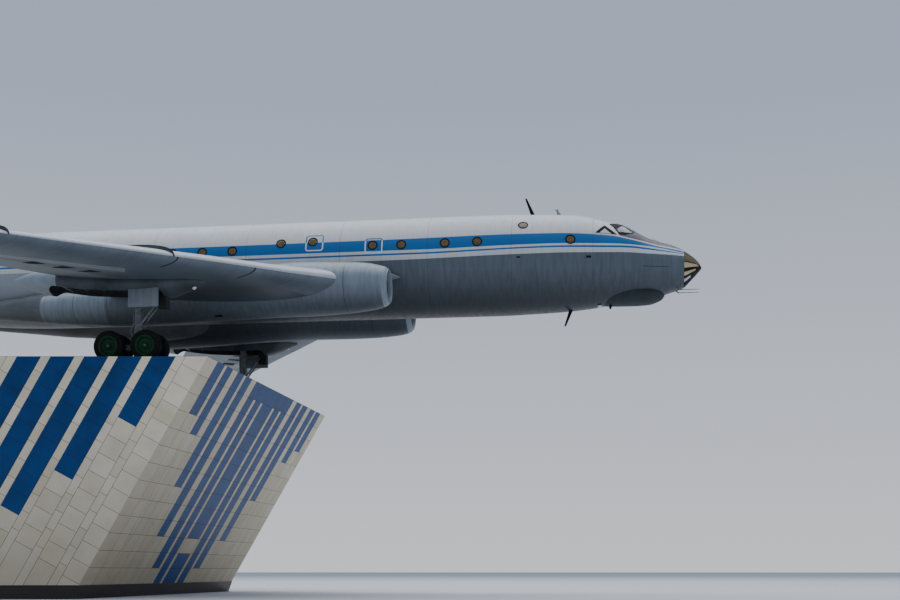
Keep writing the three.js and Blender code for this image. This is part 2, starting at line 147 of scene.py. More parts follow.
POD = [
    (3.500, 5.66, 0.06, -1.530, 0.050),
    (3.200, 5.66, 0.31, -1.540, 0.160),
    (2.800, 5.66, 0.50, -1.580, 0.280),
    (2.225, 5.66, 0.62, -1.630, 0.380),
    (1.025, 5.66, 0.68, -1.595, 0.445),
    (-0.275, 5.66, 0.68, -1.515, 0.465),
    (-1.575, 5.66, 0.58, -1.430, 0.430),
    (-2.400, 5.66, 0.37, -1.385, 0.285),
    (-2.975, 5.66, 0.08, -1.335, 0.065),
]
CHIN = [
    (18.165, 0, 0.060, -1.190, 0.050),
    (18.060, 0, 0.330, -1.180, 0.190),
    (17.605, 0, 0.620, -1.175, 0.345),
    (17.055, 0, 0.705, -1.175, 0.365),
    (16.455, 0, 0.680, -1.185, 0.350),
    (16.055, 0, 0.530, -1.235, 0.285),
    (15.755, 0, 0.270, -1.380, 0.120),
]

# The aircraft's own colours, as sRGB
WHITE = "#c6c9ca"
BLUE = "#005f9c"
GREY = "#5d6871"
PALE_GREY = "#7d878e"
JOINT_DARK = "#1e2327"


# Colour and nodes
def linear(code):
    """An sRGB hex colour as the linear values that a shader takes."""
    values = [int(code[i:i + 2], 16) / 255 for i in (1, 3, 5)]
    return [v / 12.92 if v < 0.04045 else ((v + 0.055) / 1.055) ** 2.4 for v in values] + [1.0]


class Paint:
    """A new material, and what its maker lays on it."""

    def __init__(self, name, colour, roughness=0.5, metallic=0.0, gloss=0.5):
        self.material = bpy.data.materials.new(name)
        self.material.use_nodes = True
        self.tree = self.material.node_tree
        self.shader = self.tree.nodes["Principled BSDF"]
        self.fill(self.shader, {"Base Color": linear(colour), "Roughness": roughness,
                                "Metallic": metallic, "Specular IOR Level": gloss})

    def fill(self, node, inputs):
        """Sets a node's inputs, by name or in their order, to values, colour codes or sockets."""
        for name, value in inputs.items() if isinstance(inputs, dict) else enumerate(inputs):
            if isinstance(value, bpy.types.NodeSocket):
                self.tree.links.new(value, node.inputs[name])
            else:
                node.inputs[name].default_value = linear(value) if isinstance(value, str) else value

    def put(self, kind, inputs=(), output=0, **settings):
        """Adds a node and gives one of its outputs."""
        node = self.tree.nodes.new("ShaderNode" + kind)
        for name, value in settings.items():
            setattr(node, name, value)
        self.fill(node, inputs)
        return node.outputs[output]

    def layer(self, cover, under, colour, share=None):
        """One colour over another, where and as far as the cover says, or a share of that."""
        if share is not None:
            cover = self.put("Math", (cover, share), operation="MULTIPLY")
        return self.put("Mix", {"Factor": cover, 6: under, 7: colour}, 2, data_type="RGBA")

    def place(self, scale=(1, 1, 1)):
        """The point on the object in metres, scaled."""
        return self.put("Mapping", {"Vector": self.put("TexCoord", (), "Object"), "Scale": scale})

    def x_and_height(self, place):
        """The point's x, and its height from the fuselage's axis."""
        x, _, z = self.put("SeparateXYZ", (place,)).node.outputs
        return x, self.put("Math", (z, AXIS_Z), operation="SUBTRACT")

    def grain(self, vector, scale, detail, low, high):
        """Noise with its contrast drawn out to the full range."""
        noise = self.put("TexNoise", {"Vector": vector, "Scale": scale, "Detail": detail})
        return self.put("MapRange", (noise, low, high))

    def lines(self, value, places, half, strength, colour):
        """Dark joints over a colour at the given places along a value, with half their width."""
        total = 0.0
        for place in places:
            joint = self.put("Math", (value, place, half), operation="COMPARE")
            total = self.put("Math", (joint, total), operation="ADD")
        return self.layer(total, colour, JOINT_DARK, strength)

    def darken_below(self, height, start, stop, strength, colour, dirt_and_shade):
        """Darkening that thickens from one height to another: painted shade towards the bottom."""
        return self.layer(self.put("MapRange", (height, start, stop)), colour, dirt_and_shade, strength)

    def done(self, colour):
        self.fill(self.shader, {"Base Color": colour})
        return self.material


# Shapes
SMOOTH = math.radians(30)


def deselect():
    bpy.ops.object.select_all(action="DESELECT")


def choose(piece):
    deselect()
    piece.select_set(True)
    bpy.context.view_layer.objects.active = piece


@contextmanager
def edit(piece):
    """Edit mode, with all of the piece selected at first."""
    choose(piece)
    bpy.ops.object.mode_set(mode="EDIT")
    bpy.ops.mesh.select_all(action="SELECT")
    yield
    bpy.ops.object.mode_set(mode="OBJECT")


def face_out():
    bpy.ops.mesh.select_all(action="SELECT")
    bpy.ops.mesh.normals_make_consistent(inside=False)


def modified(piece, kind, **settings):
    """The piece with a modifier applied."""
    choose(piece)
    modifier = piece.modifiers.new("step", kind)
    for name, value in settings.items():
        setattr(modifier, name, value)
    bpy.ops.object.modifier_apply(modifier=modifier.name)
    return piece


def combine(piece, other, operation="DIFFERENCE"):
    """Cuts or joins a piece with another, which is then removed."""
    modified(piece, "BOOLEAN", object=other, operation=operation, solver="EXACT")
    bpy.data.objects.remove(other, do_unlink=True)
    return piece


def rounded(rows, step):
    """Rows along a smooth curve through the given ones, at most a step apart in the first value."""
    gaps = [b[0] - a[0] for a, b in zip(rows, rows[1:])]
    slopes = [[(v - u) / gap for u, v in zip(a, b)] for a, b, gap in zip(rows, rows[1:], gaps)]

    def slope(k, column):
        before, after = slopes[max(k - 1, 0)][column], slopes[min(k, len(gaps) - 1)][column]
        if 0 < k < len(gaps):
            return 2 * before * after / (before + after) if before * after > 0 else 0.0
        return before

    result = []
    for k, gap in enumerate(gaps):
        pieces = max(4, math.ceil(abs(gap) / step))
        for i in range(pieces):
            t = i / pieces
            basis = (2 * t**3 - 3 * t**2 + 1, t**3 - 2 * t**2 + t, 3 * t**2 - 2 * t**3, t**3 - t**2)
            row = [rows[k][0] + t * gap]
            for c in range(1, len(rows[0])):
                ends = (rows[k][c], gap * slope(k, c), rows[k + 1][c], gap * slope(k + 1, c))
                row.append(sum(b * e for b, e in zip(basis, ends)))
            result.append(tuple(row))
    return result + [rows[-1]]


def row_at(rows, place):
    """The row at a place in the first column, between the nearest two."""
    for a, b in zip(rows, rows[1:]):
        if min(a[0], b[0]) <= place <= max(a[0], b[0]):
            share = (a[0] - place) / (a[0] - b[0])
            return tuple(u + (v - u) * share for u, v in zip(a, b))
    return min(rows[0], rows[-1], key=lambda row: abs(row[0] - place))


X_AXIS = (0, math.radians(90), 0)
Y_AXIS = (math.radians(90), 0, 0)
Z_AXIS = (0, 0, 0)


def drawn(rings, sides=ROUND, turn=X_AXIS, press=None):
    """A circle primitive drawn out by extrusions. Rings are a centre and three half sizes."""
    deselect()
    centre, size = rings[0]
    bpy.ops.mesh.primitive_circle_add(vertices=sides, radius=1, location=centre, rotation=turn)
    piece = bpy.context.object
    bpy.ops.object.transform_apply(location=True, rotation=True, scale=True)
    if press:
        for vertex in piece.data.vertices:
            vertex.co = press(vertex.co - Vector(centre)) + Vector(centre)
    with edit(piece):
        bpy.ops.transform.resize(value=size, center_override=centre)
        for (last, last_size), (now, now_size) in zip(rings, rings[1:]):
            move = Vector(now) - Vector(last)
            bpy.ops.mesh.extrude_region_move(TRANSFORM_OT_translate={"value": move})
            scale = [b / a for a, b in zip(last_size, now_size)]
            bpy.ops.transform.resize(value=scale, center_override=now)
        bpy.ops.mesh.select_all(action="SELECT")
        bpy.ops.mesh.remove_doubles(threshold=1e-5)
        bpy.ops.mesh.fill_holes(sides=0)
        face_out()
    return piece


def tube_rings(rows, side=1):
    """Rings across X from rows of x, distance out, half width, middle height and half height."""
    return [((x, side * out, AXIS_Z + mid), (1, wide, high)) for x, out, wide, mid, high in rows]


def half_thickness(share):
    """Half thickness of the aerofoil, over its thickness, at a share of the chord."""
    return 5 * (0.2969 * math.sqrt(share) - 0.126 * share - 0.3516 * share**2
                + 0.2843 * share**3 - 0.1015 * share**4)


TIP_STEPS, FOIL_SIDES = 5, 56


def rounded_tip(table):
    """The table with its last row, a tip, reached over a quarter of an ellipse."""
    a, b = table[-2:]
    rows = list(table[:-1])
    for i in range(1, TIP_STEPS + 1):
        angle = math.radians(90 * i / TIP_STEPS)
        out = a[0] + (b[0] - a[0]) * math.sin(angle)
        rows.append((out, *(u + (v - u) * (1 - math.cos(angle)) for u, v in zip(a[1:], b[1:]))))
    return rows


def foil(table, side=1, upright=False, slope=0.0):
    """An aerofoil surface drawn out from its root row to its tip row."""
    rings = []
    for out, lead, trail, mid, thick in rounded_tip(table):
        chord, middle = lead - trail, (lead + trail) / 2
        if upright:
            rings.append(((middle, 0, AXIS_Z + out), (chord / 2, thick * chord, 1)))
        else:
            height = AXIS_Z + mid - slope * lead
            rings.append(((middle, side * out, height), (chord / 2, 1, thick * chord)))
    turn, thin = (Z_AXIS, 1) if upright else (Y_AXIS, 2)

    def press(point):
        pressed = Vector((point.x, 0, 0))
        share = min(max((1 - point.x) / 2, 0), 1)
        pressed[thin] = math.copysign(half_thickness(share), point[thin])
        return pressed

    piece = drawn(rings, FOIL_SIDES, turn, press)
    lean = Matrix.Identity(4)
    lean[2][0] = slope
    piece.data.transform(lean)
    return piece


def twin(piece):
    """A copy with a mesh of its own."""
    copy = piece.copy()
    copy.data = piece.data.copy()
    bpy.context.scene.collection.objects.link(copy)
    return copy


def join(pieces):
    deselect()
    for piece in pieces:
        piece.select_set(True)
    bpy.context.view_layer.objects.active = pieces[0]
    bpy.ops.object.join()
    return pieces[0]


def dress(piece, name, material, nodes=(), body=AIRFRAME):
    """Names a finished piece, smooths it, and says what it is made of and what it rides on."""
    choose(piece)
    bpy.ops.object.transform_apply(location=True, rotation=True, scale=True)
    bpy.ops.object.shade_smooth_by_angle(angle=SMOOTH)
    piece.name = piece.data.name = name
    if material:
        piece.data.materials.clear()
        piece.data.materials.append(material)
    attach(piece, body)
    if nodes:
        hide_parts(*nodes)


def dress_skin(piece, node, material, body=AIRFRAME):
    """Dresses the skin that takes the place of one CAD node."""
    dress(piece, node + "_skin", material, [node], body)


def pick(piece, wanted):
    """Selects the faces whose middle and normal are wanted, in edit mode."""
    bpy.ops.mesh.select_all(action="DESELECT")
    mesh = bmesh.from_edit_mesh(piece.data)
    for face in mesh.faces:
        if wanted(face.calc_center_median(), face.normal):
            face.select_set(True)
    bmesh.update_edit_mesh(piece.data)


def coat(piece, *materials):
    for material in materials:
        piece.data.materials.append(material)


def paint_faces(piece, wanted, material):
    """Gives the wanted faces one of the materials that the piece is coated with."""
    slot = list(piece.data.materials).index(material)
    for polygon in piece.data.polygons:
        if wanted(polygon):
            polygon.material_index = slot


def stand_on(piece, point, out, up="X"):
    """Moves a piece made on the origin, facing +Z, to a point, facing out."""
    turn = out.to_track_quat("Z", up).to_matrix().to_4x4()
    piece.data.transform(Matrix.Translation(point) @ turn)
    return piece


def dial(profile, sides=32):
    """A round piece on the origin, facing +Z, from rings of radius and height."""
    return drawn([((0, 0, height), (r, r, 1)) for r, height in profile], sides, Z_AXIS)


def cone(start, stop, r0, r1=None, sides=24):
    """A bar or cone between two points, its first ring drawn along its own axis."""
    start, stop = Vector(start), Vector(stop)
    piece = dial([(r0, 0), (r0 if r1 is None else r1, (stop - start).length)], sides)
    return stand_on(piece, start, stop - start, "Y")


def cross_pin(middle, half, radius, sides=24):
    """A round pin along Y."""
    reach = Vector((0, half, 0))
    return cone(middle - reach, middle + reach, radius, sides=sides)


def block(low, high, width=0.0, segments=3):
    """A box between two corners, its edges bevelled."""
    deselect()
    middle = [(a + b) / 2 for a, b in zip(low, high)]
    bpy.ops.mesh.primitive_cube_add(size=1, location=middle)
    piece = bpy.context.object
    with edit(piece):
        size = [b - a for a, b in zip(low, high)]
        bpy.ops.transform.resize(value=size, center_override=middle)
        if width:
            bpy.ops.mesh.bevel(offset=width, segments=segments, affect="EDGES")
    bpy.ops.object.transform_apply(location=True, rotation=True, scale=True)
    return piece


EDGE_ON = 0.05


def thicken(piece, thick):
    """Gives an open sheet a thickness outwards."""
    return modified(piece, "SOLIDIFY", thickness=thick, offset=1)


def patch(skin, outline, view, thick):
    """A plate on the skin's side towards the view, inside a convex outline seen from there."""
    piece = twin(skin)
    centre = sum(outline, Vector()) / len(outline)
    with edit(piece):
        pick(piece, lambda middle, normal: normal.dot(view) < EDGE_ON)
        bpy.ops.mesh.delete(type="FACE")
        for a, b in zip(outline, outline[1:] + outline[:1]):
            bpy.ops.mesh.select_all(action="SELECT")
            normal = (b - a).cross(view)
            normal = normal if normal.dot(a - centre) > 0 else -normal
            bpy.ops.mesh.bisect(plane_co=a, plane_no=normal, clear_outer=True)
    return thicken(piece, thick) if thick else piece


def shrunk(outline, insets, view):
    """The convex outline with each edge moved in by its inset."""
    centre = sum(outline, Vector()) / len(outline)
    lines = []
    for a, b, inset in zip(outline, outline[1:] + outline[:1], insets):
        inward = (b - a).cross(view).normalized()
        inward = inward if inward.dot(centre - a) > 0 else -inward
        lines.append((a + inward * inset, (b - a).normalized()))
    corners = []
    for (before, before_way), (point, way) in zip(lines[-1:] + lines[:-1], lines):
        share = (point - before).cross(way).dot(view) / before_way.cross(way).dot(view)
        corners.append(before + before_way * share)
    return corners


# Materials
# The livery's lines on the fuselage, as heights from the axis at points along x
LINE_X = (-20.0, 2.0, 8.0, 10.0, 12.0, 14.0, 15.7, 16.3, 16.86, 17.42, 17.99, 18.56, 18.9)
LINES = {
    "grey": (-0.10, -0.10, -0.09, -0.075, -0.035, -0.005, 0.02, 0.035, 0.042, 0.03, 0.021, 0.008, 0.0),
    "thin_low": (0.07, 0.07, 0.083, 0.09, 0.135, 0.18, 0.192, 0.2, 0.205, 0.18, 0.14, 0.093, 0.07),
    "thin_top": (0.13, 0.13, 0.145, 0.15, 0.19, 0.238, 0.26, 0.272, 0.276, 0.251, 0.195, 0.126, 0.095),
    "main_low": (0.235, 0.24, 0.25, 0.25, 0.285, 0.32, 0.335, 0.345, 0.335, 0.316, 0.254, 0.16, 0.12),
    "main_top": (0.62, 0.63, 0.655, 0.67, 0.7, 0.705, 0.68, 0.645, 0.547, 0.447, 0.324, 0.238, 0.19),
}
LINE_SPAN = (-0.2, 0.9)
FRAME_JOINTS = (15.72, 12.95, 10.05, 6.97, 3.6, 0.2, -4.33, -8.1, -11.7)
STREAKS, ALONG_CHORD = (6.0, 2.0, 0.6), (0.7, 7.0, 0.0)
# The attribute that marks painted shade on a piece's points
SHADE_MARK = "dirt_and_shade"
# The tint of the painted shade on the cream tiles
TILE_SHADE = "#8b8067"


def line_of(paint, x_share, name):
    """The height of a livery line at the shaded point's x."""
    shape = paint.put("FloatCurve", {"Value": x_share})
    mapping = shape.node.mapping
    curve = mapping.curves[0]
    low, high = LINE_SPAN
    shares = [((x - LINE_X[0]) / (LINE_X[-1] - LINE_X[0]), (v - low) / (high - low))
              for x, v in zip(LINE_X, LINES[name])]
    curve.points[0].location, curve.points[-1].location = shares[0], shares[-1]
    for share in shares[1:-1]:
        curve.points.new(*share)
    for point in curve.points:
        point.handle_type = "AUTO_CLAMPED"
    mapping.update()
    rise = paint.put("Math", (shape, high - low), operation="MULTIPLY")
    return paint.put("Math", (rise, low), operation="ADD")


def fuselage_paint():
    """Airline enamel over aluminium sheet: satin white and blue above, weathered grey below.
    Rain has drawn dark streaks down the grey, and the sheets' joints show as fine lines."""
    paint = Paint("aircraft_enamel_on_aluminium", WHITE, 0.38, gloss=0.25)
    place = paint.place()
    x, height = paint.x_and_height(place)
    share = paint.put("MapRange", (x, LINE_X[0], LINE_X[-1]))
    streak = paint.grain(paint.place(STREAKS), 1.6, 6.0, 0.34, 0.70)
    cloud = paint.grain(place, 0.9, 3.0, 0.35, 0.65)
    colour = paint.layer(streak, GREY, "#39434b", 0.45)
    colour = paint.layer(cloud, colour, "#5d6870", 0.25)
    # Behind the wing the grey is painted paler, as painted light, and the painted shade below it is
    # weaker
    rear = paint.put("MapRange", (x, 6.0, -3.0))
    colour = paint.layer(rear, colour, "#98a3ab", 0.8)
    # Painted shade darkens the grey towards the belly
    shade_strength = paint.put("Math", (rear, -0.55, 0.90), operation="MULTIPLY_ADD")
    colour = paint.darken_below(height, -0.45, -1.7, shade_strength, colour, "#1b2024")
    white = paint.layer(streak, WHITE, "#a3a5a6", 0.25)
    for name, band in zip(LINES, (white, BLUE, white, BLUE, white)):
        above = paint.put("Math", (height, line_of(paint, share, name)), operation="GREATER_THAN")
        colour = paint.layer(above, colour, band)
    # Dull brown-grey paint ahead of the windscreen keeps the sun's glare down
    raised = paint.put("Math", (height, 0.05), operation="SUBTRACT")
    top_line = line_of(paint, share, "main_top")
    over = paint.put("Math", (raised, top_line), operation="GREATER_THAN")
    ahead = paint.put("Math", (x, NOSE_X - 2.80), operation="GREATER_THAN")
    colour = paint.layer(over, colour, "#57525a", ahead)
    colour = paint.lines(x, FRAME_JOINTS, 0.008, 0.45, colour)
    rough = paint.put("Math", (streak, 0.12, 0.34), operation="MULTIPLY_ADD")
    paint.fill(paint.shader, {"Roughness": rough})
    return paint.done(colour)


def exit_paint():
    """Brushed enamel outline: blue where it crosses the white, white where it crosses the blue."""
    paint = Paint("brushed_outline_enamel", "#d4d8da", 0.4)
    _, height = paint.x_and_height(paint.place())
    over = paint.put("Math", (height, 0.645), operation="GREATER_THAN")
    return paint.done(paint.layer(over, "#d4d8da", "#1a5f8d"))


def grey_paint(name, colour, dirt_and_shade, drawn_out=STREAKS, darken_below=None, joints=(), eased=None,
               marked_shade=0.0):
    """Weathered grey enamel on aluminium: satin, clouded, with dirt drawn out in streaks. The
    darkening below is painted shade: two heights from the axis and its strength, which eases off
    between two places along X to a share of itself. Joints are places along X. The marked strength
    is that of painted shade on the points that the piece's own attribute marks."""
    paint = Paint(name, colour, 0.45, 0.2, 0.3)
    place = paint.place()
    x, height = paint.x_and_height(place)
    streak = paint.grain(paint.place(drawn_out), 1.5, 5.0, 0.34, 0.68)
    cloud = paint.grain(place, 0.9, 3.0, 0.35, 0.65)
    shade = paint.layer(streak, colour, dirt_and_shade, 0.5)
    shade = paint.layer(cloud, shade, "#8a949b", 0.2)
    # Painted shade towards the bottom
    if darken_below:
        start, stop, strength = darken_below
        if eased:
            near, far, least = eased
            strength = paint.put("MapRange", (x, near, far, strength, strength * least))
        shade = paint.darken_below(height, start, stop, strength, shade, "#23292e")
    # Painted shade on the points that the piece's attribute marks
    if marked_shade:
        marked = paint.put("Attribute", (), "Fac", attribute_name=SHADE_MARK)
        shade = paint.layer(marked, shade, "#171b1f", marked_shade)
    if joints:
        shade = paint.lines(x, joints, 0.009, 0.75, shade)
    return paint.done(shade)


def enamel(name, colour, dirt_and_shade, rough=0.45, scale=10.0, gloss=0.4):
    """Brushed-on enamel over cast metal, dulled in patches."""
    paint = Paint(name, colour, rough, gloss=gloss)
    cloud = paint.grain(paint.place(), scale, 6.0, 0.38, 0.7)
    return paint.done(paint.layer(cloud, colour, dirt_and_shade))


def rubber():
    """Moulded tyre rubber: matt black, greyed by dust."""
    paint = Paint("moulded_tyre_rubber", "#141516", 0.85, gloss=0.25)
    cloud = paint.grain(paint.place(), 14.0, 5.0, 0.35, 0.7)
    return paint.done(paint.layer(cloud, "#0b0c0c", "#1d1e1e"))


def cream_tile(name, colour, dirt_and_shade, front_shade):
    """Glazed tile, dulled in patches, and painted darker towards the bottom as painted shade. The
    copies for the leaning front are painted darker all over, also painted shade."""
    paint = Paint(name, colour, 0.5, gloss=0.25)
    place = paint.place()
    shade = paint.layer(paint.grain(place, 1.5, 6.0, 0.38, 0.7), colour, dirt_and_shade)
    shade = paint.layer(front_shade, shade, TILE_SHADE)
    _, height = paint.x_and_height(place)
    return paint.done(paint.darken_below(height, -5.2, -11.0, 0.55, shade, TILE_SHADE))


def plain(*looks, **more):
    """A material with constant values."""
    return Paint(*looks, **more).material


FUSELAGE = fuselage_paint()
EXIT_PAINT = exit_paint()
NACELLE_JOINTS = (7.44, -0.96, -2.23, -3.32)
WING_GREY = grey_paint("grey_enamel_on_wing_skin", "#65727c", "#4c5760", ALONG_CHORD, marked_shade=0.6)
# The wing's upper faces are painted paler: painted light from the sky
WING_PAINTED_LIGHT = grey_paint("wing_top_enamel_with_painted_light", "#b9bec2", "#a2a8ac", ALONG_CHORD)
# The nacelle is painted darker towards its bottom as painted shade, less of it under the wing, and
# darker where it faces the fuselage, also painted shade; the jet pipe is painted darker towards its
# bottom, painted shade too
NACELLE_GREY = grey_paint("grey_enamel_on_nacelle_skin", "#7e8b95", "#56626b",
                          darken_below=(-1.15, -2.05, 0.95), joints=NACELLE_JOINTS, eased=(8.2, 5.0, 0.65),
                          marked_shade=0.6)
PIPE_METAL = grey_paint("stained_steel_jet_pipe", "#7f8d97", "#56626b",
                        darken_below=(-1.6, -2.3, 0.6), joints=NACELLE_JOINTS)
FAIRING_METAL = grey_paint("stained_steel_heat_shield", "#5d6468", "#484c4e", (0.5, 6.0, 6.0))
# The gear pods and the wing fences are painted darker than the wing: painted shade under and beside it
POD_PAINTED_SHADE = grey_paint("gear_pod_enamel_with_painted_shade", "#363f45", "#282f34")
LIP_METAL = grey_paint("bare_aluminium_intake_lip", "#85919a", "#66727a")
PALE = grey_paint("pale_grey_enamel", PALE_GREY, "#59636a")
# Grey painted paler as painted light: the lowered outer flap's lit nose, and the gear pods where the
# sky lights them
PAINTED_LIGHT_GREY = grey_paint("grey_enamel_with_painted_light", "#87939b", "#6c7880", ALONG_CHORD)
WHITE_PAINT = enamel("white_enamel_on_fin_skin", WHITE, "#bbbebf", 0.38, 1.2, 0.25)
RADOME = enamel("grey_fibreglass_radome", "#303a3e", "#283034", 0.6, 4.0, 0.2)
RUBBER = rubber()
HUB_GREEN = enamel("green_enamel_on_cast_hub", "#0a4225", "#062b18", 0.55, 12.0, 0.25)
GEAR_GREY = enamel("grey_enamel_on_forged_steel", "#747c80", "#4c5356", 0.5, 8.0)
STEEL = plain("bare_weathered_steel", "#63676a", 0.45, 0.8)
CREAMS = (("#f2e7cc", "#e6dabc"), ("#f6ecd3", "#e9dec4"), ("#ece1c6", "#dfd3b6"))
# Cream tiles, in unshaded copies for the sides and copies with painted shade for the leaning front
TILE_CREAMS = [cream_tile(f"{finish}_cream_cladding_tile", colour, dirt_and_shade, front_shade)
               for finish, front_shade in (("unshaded", 0.0), ("front_shade", 0.32))
               for colour, dirt_and_shade in CREAMS]
DECK_STONE = enamel("sawn_concrete_slab", "#c2bdb3", "#aca79e", 0.8, 3.0)
TILE_BLUE = enamel("glazed_blue_cladding_tile", "#00447f", "#003a6e", 0.4, 1.2, 0.2)
NOSE_BAR = plain("black_enamel_glazing_bar", "#100f0c", 0.5, gloss=0.2)
# One acrylic for every pane, coloured by where it sits: painted reflections, and painted shade in the
# darkest
NOSE_GLASS = {
    "olive": plain("acrylic_pane_with_painted_olive_reflection", "#736744", 0.18, 0.5),
    "gold": plain("acrylic_pane_with_painted_gold_reflection", "#c2b384", 0.25, 0.4),
    "shaded_pane": plain("acrylic_pane_with_painted_shade", "#0b0a08", 0.5, gloss=0.1),
    "pale": plain("acrylic_pane_with_painted_pale_reflection", "#b9bab6", 0.15, 0.2),
}
SEAL = enamel("black_rubber_window_seal", "#0a0a0b", "#141415", 0.75, 20.0, 0.2)
PORTHOLE_GLASS = enamel("bronze_tinted_acrylic", "#6b5733", "#4c3f29", 0.16, 9.0)
# The side windows' pale glass is a painted reflection; the quarter pane is painted dark, as painted
# shade inside the flight deck
SIDE_GLASS = plain("side_glass_with_painted_reflection", "#9a9da1", 0.12)
SCREEN_GLASS = plain("laminated_windscreen_glass", "#5c6269", 0.06)
QUARTER_GLASS = plain("quarter_glass_with_painted_shade", "#151b1e", 0.6, gloss=0.1)
LAMP_GLASS = plain("frosted_lamp_glass", "#d2d6d6", 0.2)
GROUT = plain("cement_joint", "#2a2723", 0.9)
GRANITE = enamel("polished_brown_granite", "#2f2724", "#1e1a18", 0.3, 60.0, 0.3)
BAY_DARK = enamel("primer_in_gear_bay", "#23282a", "#141617", 0.8, 6.0)
ENGINE_METAL = enamel("heat_stained_engine_steel", "#4b4744", "#2d2b2a", 0.45, 8.0)
# The ducts' linings are painted dark: painted shade inside them
DUCT_DARK = plain("duct_lining_with_painted_shade", "#1d2023", 0.7, 0.3)


# Nose glazing: panes between bars, from and to round the section in degrees above the side
# and how far short of the tip. The panes' colours are painted reflections, and the darkest are
# painted shade.
NOSE_PANES = [
    (50, 89, 0.09, "olive"), (13.5, 49, 0.07, "olive"), (-8.5, 11.5, 0.10, "gold"),
    (-18, -10.5, 0.10, "shaded_pane"), (-33, -20, 0.22, "gold"), (-56, -42, 0.36, "pale"),
    (-89, -59, 0.20, "shaded_pane"),
]
PANE_BACK = 0.59
NOSE_SIDES = 128
BAR_HALF = 0.010
PANE_SUNK = 0.006


# Fuselage skins
BODY_ROWS = rounded([(NOSE_X - station, 0, half, (top + low) / 2, (top - low) / 2)
                     for station, top, low, half in BODY], 0.35)
SECTIONS = (("nose_glazing", 0.0), ("cockpit_section", 0.61), ("fuselage_front", 4.28),
            ("fuselage_centre", 12.0), ("fuselage_rear", 23.3), ("tail_cone", 34.27))
END_GAP = 0.02


def skins():
    ends = [station for _, station in SECTIONS[1:]] + [BODY[-1][0]]
    for (node, start), end in zip(SECTIONS, ends):
        front, back = NOSE_X - start, NOSE_X - end
        inside = [row for row in BODY_ROWS if back + END_GAP < row[0] < front - END_GAP]
        rows = [row_at(BODY_ROWS, front), *inside, row_at(BODY_ROWS, back)]
        skin = drawn(tube_rings(rows), NOSE_SIDES if node == "nose_glazing" else ROUND)
        dress_skin(skin, node, FUSELAGE)


skins()


# Lifting surfaces, with the gaps round what moves in them
GAP, FLAP_GAP = 0.014, 0.006
# The round nose of a moving part and the slot for it: share of the surface's half thickness, what
# is added to it, and how far short of the hinge line's ends it stops
NOSE_FIT, SLOT_FIT = (0.88, 0, 0.06), (1, 0.010, -0.014)
CUTTER_LOW, CUTTER_HIGH, CUTTER_LONG = -4, 6, 4


def beside(side):
    """Where x, distance out and height from the axis are, on one side of the aircraft."""
    return lambda x, out, height: Vector((x, side * out, AXIS_Z + height))


def upright(x, out, height):
    return Vector((x, height, AXIS_Z + out))


def control(whole, hinge, gap, place, square_end):
    """The trailing part of a surface behind its hinge, cut free, and the cutter left for the gap."""
    (out_a, x_a), (out_b, x_b) = hinge
    length = math.hypot(x_b - x_a, out_b - out_a)
    along = Vector(((x_b - x_a) / length, (out_b - out_a) / length))
    aft = Vector((-along[1], along[0]))
    inner = Vector((-1, 0)) if square_end else aft
    a, b = Vector((x_a, out_a)), Vector((x_b, out_b))

    def prism(grow):
        start = a - along * 4 * grow - aft * grow
        stop = b + along * grow - aft * grow
        corners = [start, stop, stop + aft * CUTTER_LONG, start + inner * CUTTER_LONG]
        deselect()
        bpy.ops.mesh.primitive_plane_add(size=1)
        cutter = bpy.context.object
        for index, corner in zip((0, 1, 3, 2), corners):
            cutter.data.vertices[index].co = place(corner.x, corner.y, CUTTER_LOW)
        with edit(cutter):
            depth = place(0, 0, CUTTER_HIGH) - place(0, 0, CUTTER_LOW)
            bpy.ops.mesh.extrude_region_move(TRANSFORM_OT_translate={"value": depth})
            face_out()
        return cutter

    return combine(twin(whole), prism(-gap / 4), "INTERSECT"), prism(gap)


def hinge_nose(table, hinge, place, slope, share, add, inset):
    """A round bar along a hinge line, as thick as the surface there."""
    ends = []
    for out, x in hinge:
        _, lead, trail, mid, thick = row_at(table, out)
        half = half_thickness((lead - x) / (lead - trail)) * thick * (lead - trail)
        ends.append((place(x, out, mid - slope * (lead - x)), half * share + add))
    (start, r0), (stop, r1) = ends
    way = (stop - start).normalized()
    return cone(start + way * inset, stop - way * inset, r0, r1, 32)


def hinged(whole, table, hinge, place, slope=0.0, square_end=False):
    """A moving part with its round nose, and the two cutters of its slot."""
    part, slot = control(whole, hinge, GAP, place, square_end)
    combine(part, hinge_nose(table, hinge, place, slope, *NOSE_FIT), "UNION")
    return part, slot, hinge_nose(table, hinge, place, slope, *SLOT_FIT)


FENCES, FENCE_HEIGHT, FENCE_THICK = (7.75, 11.88), 0.11, 0.012
FENCE_CHORD, FENCE_STEPS, FENCE_AHEAD = 0.45, 14, 0.03
FENCE_SUNK, FENCE_DROP = 0.02, 0.7


